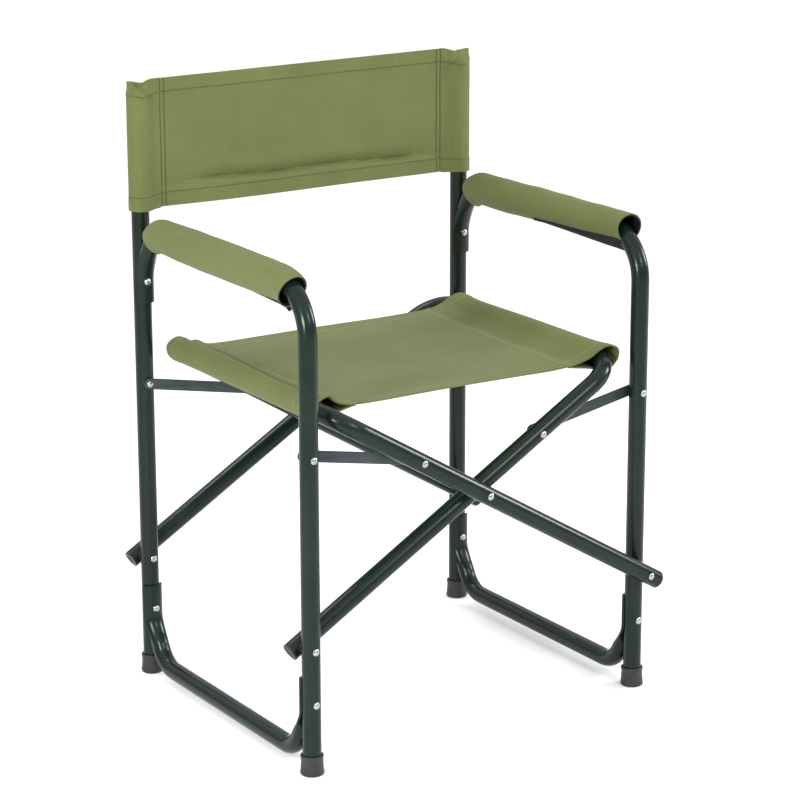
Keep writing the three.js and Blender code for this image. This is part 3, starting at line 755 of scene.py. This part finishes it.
def cloth_sheet(name, grid, material, wall, closed=False):
    """A sheet with real thickness, from a grid of middle points.

    Its UV map is the flat cut in metres, and its points know which face is inside.
    """
    rows, columns, _ = grid.shape
    normal = normals_of(grid)
    if closed:
        wide = np.concatenate([grid[:, -2:-1], grid, grid[:, 1:2]], axis=1)
        normal = normals_of(wide)[:, 1:-1]
    half = normal * wall[..., None] / 2
    vertices = np.concatenate([(grid + half).reshape(-1, 3), (grid - half).reshape(-1, 3)])
    layer = rows * columns
    at = np.arange(layer).reshape(rows, columns)
    quads = np.stack([at[:-1, :-1], at[:-1, 1:], at[1:, 1:], at[1:, :-1]], axis=-1).reshape(-1, 4)
    rim = np.concatenate([at[0], at[1:, -1], at[-1, -2::-1], at[-2:0:-1, 0]])
    after = np.roll(rim, -1)
    edges = np.stack([after, rim, rim + layer, after + layer], axis=-1)
    faces = np.concatenate([quads, layer + quads[:, ::-1], edges]).tolist()
    made = piece(name, vertices, faces, material, 60)
    across, down = cut_lengths(grid)
    flat = np.stack(np.meshgrid(across, down), axis=-1).reshape(-1, 2)
    loops = np.zeros(len(made.data.loops), int)
    made.data.loops.foreach_get("vertex_index", loops)
    places = made.data.uv_layers.new(name="cloth")
    places.data.foreach_set("uv", flat[loops % layer].astype(np.float32).ravel())
    inside = made.data.attributes.new("inside", "FLOAT", "POINT")
    inside.data.foreach_set("value", np.repeat((0.0, 1.0), layer))
    made["cut_m"] = [float(across[-1]), float(down[-1])]
    return made


def at_fraction(points, share, carried=None):
    """Points of a polyline at these shares of its length, or the values that it carries there."""
    length = np.concatenate([[0], np.cumsum(np.linalg.norm(np.diff(points, axis=0), axis=1))])
    lines = (points if carried is None else carried).T
    return np.stack([np.interp(share * length[-1], length, line) for line in lines], axis=1)


def stitch(head, tail, over):
    """A short round thread between two points, sunk at its ends: the rings to loft."""
    way = tail - head
    side = way.normalized().cross(over).normalized()
    turns = [2 * math.pi * k / STITCH_SIDES for k in range(STITCH_SIDES)]
    rings = []
    for along in (-1.0, -0.7, 0.0, 0.7, 1.0):
        high = STITCH_R * math.sqrt(max(0.06, 1 - along ** 2))
        wide = high * 1.25
        centre = (head + tail) / 2 + way * (along / 2) - over * (STITCH_R * 0.9 * along ** 2)
        rings.append([centre + side * wide * math.cos(a) + over * high * math.sin(a) for a in turns])
    return rings


def stitches(name, rows, material):
    """Stitches along rows of (points, normals), as one piece."""
    vertices, faces = [], []
    for points, normals in rows:
        length = np.linalg.norm(np.diff(points, axis=0), axis=1).sum()
        count = int(length / STITCH_PITCH)
        middles = (np.arange(count) + 0.5) / count
        reach = STITCH_LENGTH / 2 / length
        heads = at_fraction(points, middles - reach)
        tails = at_fraction(points, middles + reach)
        ups = at_fraction(points, middles, normals)
        for head, tail, up in zip(heads, tails, ups):
            rings = stitch(Vector(head), Vector(tail), Vector(up).normalized())
            made, joined = lofted(rings, "flat", "flat")
            faces += [tuple(len(vertices) + corner for corner in face) for face in joined]
            vertices += made
    return piece(name, vertices, faces, material, 80)


def surface_row(grid, wall, line, side=1):
    """A line of the grid, by row and column, on one face of the cloth, with its normals."""
    ups = normals_of(grid)[line] * side
    return grid[line] + ups * (wall[line][:, None] / 2 + STITCH_R * STITCH_LIFT), ups


def hemmed_panel(part, grid, from_edge, seam, sewn, seam_faces, tone, material):
    """A panel and its sewing: a double seam at each sleeve, and a hem along both long edges.

    Counted from the middle, seam is a sleeve seam's outer column, and hems are sewn as far as sewn.
    Tone sets how the seam and hem lines are painted: darker as shade, or paler as highlight.
    """
    wall = hemmed_wall(from_edge, PANEL_HEM)
    across, down = cut_lengths(grid)
    rows, columns = wall.shape
    centre = columns // 2
    seams = [centre - seam, centre - seam + 2, centre + seam - 2, centre + seam]
    first = round(PANEL_HEM / down[-1] * (rows - 1))
    hems = [first, rows - 1 - first]
    cloth = canvas(f"{part}_cloth", across[seams], down[hems], tone)
    sheet = cloth_sheet(f"{part}_canvas", grid, cloth, wall)
    held = slice(centre - sewn, centre + sewn + 1)
    lines = []
    for face in (1, -1):
        if face in seam_faces:
            lines += [surface_row(grid, wall, (slice(None), column), face) for column in seams]
        lines += [surface_row(grid, wall, (row, held), face) for row in hems]
    return sheet, stitches(f"{part}_stitches", lines, material)


def folds_between(part, sheet, sewing, crease, lean, holders):
    """Sets a panel's sheet and sewing in place and hides the CAD halves that they replace; its crease
    and holders are not used.
    """
    for made in (sheet, sewing):
        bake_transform(made)
    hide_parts(f"{part}_canvas_left", f"{part}_canvas_right")


def ripples(a, b, seed):
    """Soft cloth noise over metres of flat cloth, about -1 to 1."""
    flat = [noise.noise(Vector((x, y, seed))) * 1.6 for x, y in zip(np.ravel(a), np.ravel(b))]
    return np.array(flat).reshape(np.shape(a))


def hermite(start, start_way, end, end_way, steps):
    """A smooth curve between two points with given end tangents, in the plane."""
    t = np.linspace(0, 1, steps + 1)[:, None]
    h00, h10 = 2 * t ** 3 - 3 * t ** 2 + 1, t ** 3 - 2 * t ** 2 + t
    h01, h11 = -2 * t ** 3 + 3 * t ** 2, t ** 3 - t ** 2
    leaving, arriving = h10 * np.array(start_way), h11 * np.array(end_way)
    return h00 * np.array(start) + leaving + h01 * np.array(end) + arriving


def bell(value, centre, width):
    """1 at the centre, falling off smoothly."""
    return np.exp(-((value - centre) / width) ** 2)


def round_tube(centre, radius, degrees):
    """Points round a tube's centre, in the plane of a section."""
    angles = np.radians(degrees)
    return np.array(centre) + np.stack([radius * np.cos(angles), radius * np.sin(angles)], axis=1)


def whole_row(half_section):
    """A section of (x, depth) rows from its two halves, each from the middle out."""
    left, right = half_section("left"), half_section("right")
    return np.concatenate([left[::-1] * (-1, 1), right[1:]])


# ---- The seat ----

SEAT_SEAM_X = 0.158
SEAT_SEAM_GAP = 0.005  # between its two rows of stitches
SEAT_UNDER_LAP = 0.006
SEAT_INSET = 0.0005  # of its edges, in the CAD seat
SEAT_PANEL_COLUMNS = 46
SEAT_RISE_COLUMNS = 22
SEAT_LOOP_COLUMNS = 28
SEAT_UNDER_COLUMNS = 16
SEAT_ROWS = 96
# The folds along the left sleeve: (height, x, half of its width).
LEFT_SLEEVE_FOLDS = ((0.0022, -0.204, 0.0060), (-0.0066, -0.190, 0.0058), (0.0040, -0.177, 0.0060))
# The sleeve's radius round its rail by angle up from level: tight below, loose and peaked above.
SLEEVE_ANGLES = (-110, -60, -30, 0, 30, 60, 90, 112)
SLEEVE_RADII = (0.0121, 0.0121, 0.0126, 0.0150, 0.0176, 0.0172, 0.0168, 0.0168)
SLEEVE_MOUTH = (0.0003, 0.0002, 0.0008, 0.0022, 0.0042, 0.0018, 0.0004, 0.0002)


def rail_axis_at(side, y):
    """Where a seat sleeve's middle is at this y, (x, z): it follows its rail's rear corner inward."""
    past = max(0.0, y - (REAR[side] - RAIL_BEND))
    drop = RAIL_BEND - math.sqrt(RAIL_BEND ** 2 - past ** 2)
    return SEAT_RAIL_X - drop * math.cos(RAIL_SLOPE), SEAT_RAIL_Z - drop * math.sin(RAIL_SLOPE)


def seat_half_section(side, y):
    """Half of the seat's section at y, from the middle out: (x outwards, z) rows of fixed counts."""
    share = (y - SEAT_FRONT) / (SEAT_REAR - SEAT_FRONT)
    edge = abs(2 * share - 1)
    middle_z = SEAT_CREASE_Z - 0.0005 + 0.0045 * edge ** 2.2 + 0.0015 * share
    seam_x = SEAT_SEAM_X + 0.002 * (share - 0.5)
    seam = np.array([seam_x, middle_z + 0.0026 - 0.0022 * edge ** 3])
    degrees = np.linspace(SLEEVE_ANGLES[-1], SLEEVE_ANGLES[0], SEAT_LOOP_COLUMNS)
    mouth = eased((edge - 0.70) / 0.30) * np.interp(degrees, SLEEVE_ANGLES, SLEEVE_MOUTH)
    radius = np.interp(degrees, SLEEVE_ANGLES, SLEEVE_RADII) + mouth
    radius = np.convolve(np.pad(radius, 2, mode="edge"), (0.1, 0.2, 0.4, 0.2, 0.1), mode="valid")
    loop = round_tube(rail_axis_at(side, y), radius, degrees)
    inner_row = seam - (SEAT_SEAM_GAP, 0.0002)
    panel = hermite((0, middle_z), (seam_x * 0.9, 0.0), inner_row, (seam_x * 0.9, 0.004),
                    SEAT_PANEL_COLUMNS - 3)
    double_seam = np.linspace(inner_row, seam, 3)[1:]
    reach = loop[0][0] - seam_x
    leave = unit(loop[0] - loop[1])
    rise = hermite(seam, (reach * 1.1, 0.0015), loop[0], -leave * reach * 0.9, SEAT_RISE_COLUMNS)
    lap = seam - (SEAT_UNDER_LAP, CLOTH_T * LAP_DEPTH)
    fall = loop[-1][0] - lap[0]
    tail = unit(loop[-1] - loop[-2])
    under = hermite(loop[-1], tail * fall * 0.7, lap, (-fall * 0.8, 0.004), SEAT_UNDER_COLUMNS)
    return np.concatenate([panel, double_seam, rise[1:], loop[1:], under[1:]])


def seat_grid():
    """The seat's middle surface, row by row from the front."""
    rows = []
    for y in np.linspace(SEAT_FRONT + SEAT_INSET, SEAT_REAR - SEAT_INSET, SEAT_ROWS):
        row = whole_row(lambda side: seat_half_section(side, y))
        rows.append(np.insert(row, 1, y, axis=1))
    return np.array(rows)


def seat_wrinkles(grid):
    """How far each point of the seat stands off its smooth shape, along the normal."""
    x, y, z = grid[..., 0], grid[..., 1], grid[..., 2]
    on_top = np.clip((z - SEAT_RAIL_Z + 0.006) / 0.004, 0, 1)
    on_panel = np.clip((SEAT_RAIL_X - 0.004 - np.abs(x)) / 0.03, 0, 1)
    bands = 0.0007 * ripples(x * 2.6, y * 17, 3.1) + 0.0004 * ripples(x * 6, y * 42, 8.4)
    pulls = 0.0008 * ripples((x - y) * 20, (x + y) * 4, 5.7) * bell(np.abs(x), 0.16, 0.05)
    wander = 0.004 * ripples(y * 6, y * 2, 1.3) + 0.010 * (SEAT_REAR - y) / (SEAT_REAR - SEAT_FRONT)
    fold = sum(rise * bell(x + wander, place, width) for rise, place, width in LEFT_SLEEVE_FOLDS)
    fold = fold - 0.0014 * bell(x, 0.183, 0.008)
    fold = fold * (0.45 + 0.55 * np.clip((SEAT_REAR - y) / 0.05, 0, 1))
    slack = 0.0006 * ripples(x * 40, y * 9, 6.1) * (1 - on_panel)
    return (bands + pulls) * on_panel + (fold + slack) * on_top


def make_seat():
    """The seat's sheet and its sewing."""
    grid = seat_grid()
    grid = grid + normals_of(grid) * seat_wrinkles(grid)[..., None]
    y = grid[..., 1]
    from_edge = np.minimum(y - SEAT_FRONT, SEAT_REAR - y)
    seam = SEAT_PANEL_COLUMNS - 1
    sewn = seam + SEAT_RISE_COLUMNS + SEAT_LOOP_COLUMNS - UNSEWN_COLUMNS
    # The seat's seam and hem lines are painted pale, as highlight, and its thread is painted pale too.
    made = hemmed_panel("seat", grid, from_edge, seam, sewn, (1,), SEAM_PALE, THREAD_PAINTED_HIGHLIGHT)
    crease = Vector((0, (SEAT_FRONT + SEAT_REAR) / 2, SEAT_CREASE_Z))
    folds_between("seat", *made, crease, 0.0, "crossed_rail")


# ---- The back ----

BACK_SEAM_X = 0.2095
BACK_SEAM_GAP = 0.006  # between its two rows of stitches
BACK_BOTTOM = 0.592
BACK_BOW_HEIGHT = 0.16  # over which the slack panel bows backward
BACK_CREASE_Z = 0.619  # of the long crease above its lower hem
BACK_ROWS = 104
BACK_PANEL_COLUMNS = 62
BACK_JOIN_COLUMNS = 14
BACK_LOOP_COLUMNS = 26
SHUT_FROM = 0.7345  # the sleeves close from this height
SHUT_AT = 0.7465  # to flat here
BACK_FRONT_R, BACK_REAR_R = 0.0131, 0.0138  # a sleeve's radius round its post
BACK_OUT_R = {"left": 0.0122, "right": 0.0139}
BACK_LEAN = (REAR["right"] - REAR["left"]) / (2 * HALF_WIDTH)


def back_half_section(side):
    """Half of the back's section, from the middle out: (x outwards, y) rows."""
    middle_y = (REAR["left"] + REAR["right"]) / 2
    lean = BACK_LEAN * SIDES[side]
    degrees = np.linspace(-112, 112, BACK_LOOP_COLUMNS)
    rearward = np.sin(np.radians(degrees))
    out_r = BACK_OUT_R[side]
    radius = out_r + (BACK_FRONT_R - out_r) * np.clip(-rearward, 0, 1)
    radius = radius + (BACK_REAR_R - out_r) * np.clip(rearward, 0, 1)
    loop = round_tube((HALF_WIDTH, REAR[side]), radius, degrees)
    seam = np.array([BACK_SEAM_X, middle_y + BACK_SEAM_X * lean])
    inner_row = seam - (BACK_SEAM_GAP, BACK_SEAM_GAP * lean)
    panel = np.linspace((0, middle_y), inner_row, BACK_PANEL_COLUMNS - 2)
    double_seam = np.linspace(inner_row, seam, 3)[1:]
    reach = loop[0][0] - seam[0]
    leave = unit(loop[0] - loop[1])
    join = hermite(seam, (reach * 0.8, lean * reach - 0.004), loop[0], -leave * reach * 0.8,
                   BACK_JOIN_COLUMNS)
    lap = seam + (0.0, CLOTH_T * LAP_DEPTH)
    tail = unit(loop[-1] - loop[-2])
    rear_join = hermite(loop[-1], tail * reach * 0.8, lap, (-reach * 0.8, -0.003), BACK_JOIN_COLUMNS)
    return np.concatenate([panel, double_seam, join[1:], loop[1:], rear_join[1:]])


def back_edges(x):
    """The back's top and bottom heights: corners peak, shut sleeves dip, the bottom is slack."""
    out = np.abs(x)
    dip = np.where(x < 0, 0.0034, 0.0056) * bell(out, HALF_WIDTH - 0.004, 0.012)
    worn_corner = 0.0022 * np.clip((x - HALF_WIDTH) / 0.012, 0, 1)
    top = BACK_TOP + 0.0004 - 0.0045 * x - dip - worn_corner
    sleeve = np.clip((out - BACK_SEAM_X - 0.001) / 0.002, 0, 1)
    bottom = BACK_BOTTOM + 0.0035 * bell(x, -0.25, 0.12) - 0.0022 * bell(x, 0.25, 0.14)
    return top, bottom - 0.0012 * sleeve


def back_grid():
    """The back's middle surface from the bottom up, with its sleeves sewn shut over the posts."""
    row = whole_row(back_half_section)
    x, y = (np.broadcast_to(line, (BACK_ROWS, len(row))) for line in row.T)
    top, bottom = back_edges(x)
    z = bottom + (top - bottom) * np.linspace(0, 1, BACK_ROWS)[:, None]
    over_post = np.clip((np.abs(x) - BACK_SEAM_X) / 0.012, 0, 1)
    shut = eased((z - SHUT_FROM) / (SHUT_AT - SHUT_FROM)) * over_post
    post_y = np.where(x < 0, REAR["left"], REAR["right"])
    layer = np.where(y < post_y, -1, 1) * CLOTH_T * 0.55
    return np.stack([x, y + (post_y + layer - y) * shut, z], axis=-1)


def back_wrinkles(grid):
    """How far each point of the back stands forward of its smooth shape.

    The panel sags over a crease along its lower edge; the shut sleeves are tucked at the top.
    """
    x, z = grid[..., 0], grid[..., 2]
    on_panel = np.clip((BACK_SEAM_X - np.abs(x)) / 0.012, 0, 1)
    line = BACK_CREASE_Z - 0.016 * x + 0.0012 * np.sin(x * 34)
    rise = np.clip((z - line) / 0.017, 0, 1)
    fall = np.clip((line - z) / 0.0045, 0, 1)
    reach = np.clip((0.186 - np.abs(x - 0.006)) / 0.05, 0, 1)
    crease = -0.0072 * reach * (1 - rise) ** 2 * (1 - fall) ** 2
    slack = 0.0010 * ripples(x * 5, z * 9, 2.2) + 0.0003 * ripples(x * 16, z * 16, 4.6)
    inward = np.clip(1 - (x / BACK_SEAM_X) ** 2, 0, 1)
    level = 2 * (z - BACK_BOTTOM) / BACK_BOW_HEIGHT - 1
    bow = -0.0030 * inward * (1 - level ** 2)
    hem = 0.0012 * np.clip((line - 0.003 - z) / 0.003, 0, 1)
    slanted = np.abs(x) - HALF_WIDTH - (z - BACK_TOP) * 0.9
    tucks = -0.0030 * bell(slanted, 0.006, 0.0035) + 0.0016 * bell(slanted, -0.004, 0.004)
    tucks = (tucks + 0.0008 * ripples(x * 90, z * 14, 9.1)) * np.clip((z - 0.716) / 0.016, 0, 1)
    pull = -0.0012 * bell(np.abs(x), 0.2215, 0.006)
    fine = 0.0003 * ripples(x * 30, z * 22, 7.7)
    return (crease + slack + bow + hem) * on_panel + (tucks + pull) * (1 - on_panel) + fine


def make_back():
    """The back's sheet and its sewing."""
    grid = back_grid()
    grid[..., 1] -= back_wrinkles(grid)
    z = grid[..., 2]
    top, bottom = back_edges(grid[..., 0])
    from_edge = np.minimum(top - z, z - bottom)
    seam = BACK_PANEL_COLUMNS - 1
    sewn = seam + BACK_JOIN_COLUMNS + BACK_LOOP_COLUMNS - UNSEWN_COLUMNS
    # The back's seam and hem lines are painted dark, as shade, and its thread is painted dark too.
    made = hemmed_panel("back", grid, from_edge, seam, sewn, (1, -1), SEAM_DARK, THREAD_PAINTED_SHADE)
    crease = Vector(joints["back_crease"]["pos_m"])
    folds_between("back", *made, crease, BACK_LEAN, "back_post")


# ---- Arm covers ----

COVER_HALF_W = 0.0172
COVER_REAR_END = math.radians(38)
COVER_HEM = 0.009
COVER_COLUMNS = 65
COVER_STEP = 0.005
COVER_SEED = {"left": 11.3, "right": 23.9}
TAPE_T = 0.0015
TAPE_END = 0.56  # of the cover's length, from the front
TAPE_ROOT = 0.0100  # the closing tape leaves the cover this far inboard of its underside
# From the front end to the rear, above the arm's axis: the section's top, its underside and the
# tape's lower edge. At the front the cover leaves the arm's bend on one of its own, for a length.
COVER_SHARES = (0.0, 0.10, 0.50, 0.72, 0.92, 1.0)
COVER_FORM = {
    "left": {
        "bend": 0.058,
        "length": 0.0284,
        "tops": (0.0182, 0.0180, 0.0194, 0.0188, 0.0186, 0.0156),
        "undersides": (-0.0236, -0.0244, -0.0246, -0.0238, -0.0224, -0.0205),
        "tapes": (-0.0315, -0.0300, -0.0246, -0.0238, -0.0224, -0.0205),
    },
    "right": {
        "bend": 0.40,
        "length": 0.0340,
        "tops": (0.0220, 0.0208, 0.0208, 0.0200, 0.0196, 0.0172),
        "undersides": (-0.0118, -0.0144, -0.0185, -0.0220, -0.0216, -0.0205),
        "tapes": (-0.0232, -0.0236, -0.0190, -0.0220, -0.0216, -0.0205),
    },
}


def cover_stations(side):
    """Where a cover's middle line runs, front to rear: (point, direction, share of the way)."""
    form = COVER_FORM[side]
    front_y = FRONT[side] + ARM_FRONT_BEND
    rear_y = REAR[side] - ARM_DROP - ARM_REAR_BEND

    def past(y, angle, bend, way):
        """A station round an end's bend; way is -1 at the front end and 1 at the rear."""
        point = (y + way * bend * math.sin(angle), ARM_Z - bend * (1 - math.cos(angle)))
        slope = Vector((0, math.cos(angle), -way * math.sin(angle)))
        return Vector((SIDES[side] * HALF_WIDTH, *point)), slope

    bend = form["bend"]
    stations = [past(front_y, angle, bend, -1) for angle in np.linspace(form["length"] / bend, 0, 8)]
    stations += [past(y, 0, 0, 1) for y in np.arange(front_y + COVER_STEP, rear_y, COVER_STEP)]
    stations += [past(rear_y, angle, ARM_REAR_BEND, 1) for angle in np.linspace(0, COVER_REAR_END, 9)]
    lengths = np.cumsum([0] + [(b[0] - a[0]).length for a, b in zip(stations, stations[1:])])
    shares = lengths / lengths[-1]
    return [(point, way, share) for (point, way), share in zip(stations, shares)], lengths


def cover_levels(side, share):
    """The top, underside and tape edge of a cover's section at a share of its length."""
    lines = (COVER_FORM[side][key] for key in ("tops", "undersides", "tapes"))
    return [float(np.interp(share, COVER_SHARES, line)) for line in lines]


def on_station(point, way, section):
    """Points of a section, (across the arm, above it), at a station of it."""
    over = ACROSS.cross(way)
    return [list(point + ACROSS * float(a) + over * float(b)) for a, b in section]


def arm_cover(side):
    """An arm's padded cover, with its hems and its closing tape."""
    stations, lengths = cover_stations(side)
    seed = COVER_SEED[side]
    turn = np.linspace(2 * math.pi, 0, COVER_COLUMNS)
    rows = []
    for (point, way, share), length in zip(stations, lengths):
        top, underside, _ = cover_levels(side, share)
        narrow = 1 - 0.14 * ((1 + np.cos(turn)) / 2) ** 2
        flare = 1 + 0.03 * eased((0.06 - share) / 0.06) - 0.12 * eased((share - 0.92) / 0.08)
        across = COVER_HALF_W * flare * np.sin(turn) * narrow
        up = (top + underside) / 2 - (top - underside) / 2 * np.cos(turn)
        wavy = 0.0005 * ripples(np.full(turn.shape, length * 12), np.cos(turn) * 0.8, seed)
        wavy = wavy + 0.0004 * ripples(length * 30 + turn * 0.6, np.sin(turn) * 1.6, seed + 4)
        section = zip(across + np.sin(turn) * wavy, up - np.cos(turn) * wavy)
        rows.append(on_station(point, way, section))
    grid = np.array(rows)
    wall = hemmed_wall(np.minimum(lengths, lengths[-1] - lengths), COVER_HEM)
    wall = np.tile(wall[:, None], (1, COVER_COLUMNS))
    _, down = cut_lengths(grid)
    hems = [int(np.searchsorted(lengths, place)) for place in (COVER_HEM, lengths[-1] - COVER_HEM)]
    # Its hem lines are painted dark, as shade, and its inner face near black, as shade.
    cloth = canvas(f"cover_cloth_{side}", (), down[hems], painted_dark_inside=True)
    cover = cloth_sheet(f"arm_cover_canvas_{side}", grid, cloth, wall, closed=True)
    stands_for(cover, f"frame_{side}", "canvas", f"arm_cover_{side}")
    lines = [surface_row(grid, wall, (row, slice(3, -3))) for row in hems]
    # The hem stitches are in thread painted pale, as highlight.
    sewing = stitches(f"arm_cover_stitches_{side}", lines, THREAD_PAINTED_HIGHLIGHT)
    stands_for(sewing, f"frame_{side}", "canvas")
    with_pieces = [sewing, closing_tape(side, stations)]


def closing_tape(side, stations):
    """The black strip that closes a cover: it shows along the sitter's side and turns under."""
    rows = []
    for point, way, share in stations:
        if share > TAPE_END:
            break
        _, underside, edge = cover_levels(side, share)
        curve = hermite((TAPE_ROOT, underside + 0.0042), (0.004, -0.006),
                        (TAPE_ROOT * 0.3, edge), (-0.014, -0.001), 8)
        rows.append(on_station(point, way, curve * (-SIDES[side], 1)))
    grid = np.array(rows)
    wall = np.full(grid.shape[:2], TAPE_T)
    tape = cloth_sheet(f"arm_cover_tape_{side}", grid, TAPE, wall)
    return stands_for(tape, f"frame_{side}", "canvas")


# ---- The stage ----

LIGHTS = {  # place, target, size and power
    "key": ((-1.25, -0.75, 0.80), (-0.15, 0, 0.50), 0.34, 15),
    "fill": ((0.3, -2.2, 1.7), (0, 0, 0.45), 0.70, 16),
    "top": ((-0.5, 0.9, 2.0), (0, 0, 0.40), 0.50, 8),
    "right": ((2.3, -0.75, 1.25), (0.1, 0, 0.40), 0.80, 34),
}
SURROUND = ((0.05, (0.25, 0.25, 0.25)), (0.60, WHITE))  # its tone by height, the zenith being 1
SURROUND_STRENGTH = 1.30
FLOOR_REACH = 30.0


def turned_to(made, place, ahead, roll=0.0):
    """Stands a light or a camera at its place, looking ahead."""
    made.location = place
    made.rotation_mode = "QUATERNION"
    looking = ahead.to_track_quat("-Z", "Y")
    made.rotation_quaternion = looking @ Matrix.Rotation(roll, 4, "Z").to_quaternion()


def area_light(name, place, target, size, power):
    """A soft round light."""
    data = bpy.data.lights.new(name, "AREA")
    data.shape = "DISK"
    data.size = size
    data.energy = power
    turned_to(in_scene(name, data), place, Vector(target) - Vector(place))


def stage():
    """A pale floor, a white surround that dims towards the horizon, and soft studio lights."""
    world = bpy.data.worlds.new("studio")
    nodes = Nodes(world, "Background", Strength=SURROUND_STRENGTH)
    ahead = nodes.add("TexCoord").outputs["Generated"]
    height = nodes.add("SeparateXYZ", {0: ahead}).outputs[2]
    nodes.put(nodes.ramp(height, SURROUND), nodes.shader.inputs["Color"])
    bpy.context.scene.world = world
    corners = [(FLOOR_REACH * x, FLOOR_REACH * y, 0) for x, y in ((-1, -1), (1, -1), (1, 1), (-1, 1))]
    pale = new_material("pale_floor", Specular_IOR_Level=0.1).finished((0.93, 0.93, 0.93), 0.8)
    piece("floor", corners, [(0, 1, 2, 3)], pale)
    for name, light in LIGHTS.items():
        area_light(name, *light)


CAMERA_PLACE = (-1.7784, -2.7892, 1.2899)
CAMERA_AZIMUTH = math.radians(-32.74)
CAMERA_ELEVATION = math.radians(15.67)
CAMERA_ROLL = math.radians(-0.1)
CAMERA_LENS = 126.3  # on a 36 mm sensor


def camera():
    """The photo's camera, solved from the chair's feet, rivets and corners."""
    data = bpy.data.cameras.new("camera")
    data.lens = CAMERA_LENS
    data.sensor_width = 36.0
    data.clip_end = 100.0
    made = in_scene("camera", data)
    level = math.cos(CAMERA_ELEVATION)
    aside, ahead = -math.sin(CAMERA_AZIMUTH) * level, math.cos(CAMERA_AZIMUTH) * level
    turned_to(made, CAMERA_PLACE, Vector((aside, ahead, -math.sin(CAMERA_ELEVATION))), CAMERA_ROLL)
    bpy.context.scene.camera = made
    bpy.context.scene.view_settings.view_transform = "Standard"


# ---- The whole chair ----

camera()
stage()
for side in SIDES:
    arm_leg_tube(side)
    stretcher(side)
    rear_post(side)
    seat_rail(side)
    top = Matrix.Translation((SIDES[side] * HALF_WIDTH, REAR[side], POST_TOP))
    tube_plug(f"post_plug_{side}", f"frame_{side}", f"post_top_plug_{side}", top)
    for fixed in ("arm_rivet", "stretcher_front_rivet", "stretcher_rear_rivet",
                  "front_link_frame_rivet", "rear_link_frame_rivet"):
        rivet(f"{fixed}_{side}", f"frame_{side}")
    for end in ("front", "rear"):
        foot_cap(end, side)
        rail_plug(end, side)
        link(end, side)
        rivet(f"{end}_lower_pivot_{side}_rivet", f"frame_{side}")
        washer(f"{end}_lower_pivot_{side}_washer", f"frame_{side}")
        rivet(f"{end}_link_rail_rivet_{side}", f"rail_{side}", flush=True)
    arm_cover(side)
for end in ("front", "rear"):
    rivet(f"{end}_cross_pivot_rivet", "rail_right")
    washer(f"{end}_cross_pivot_washer", "rail_right")
make_seat()
make_back()
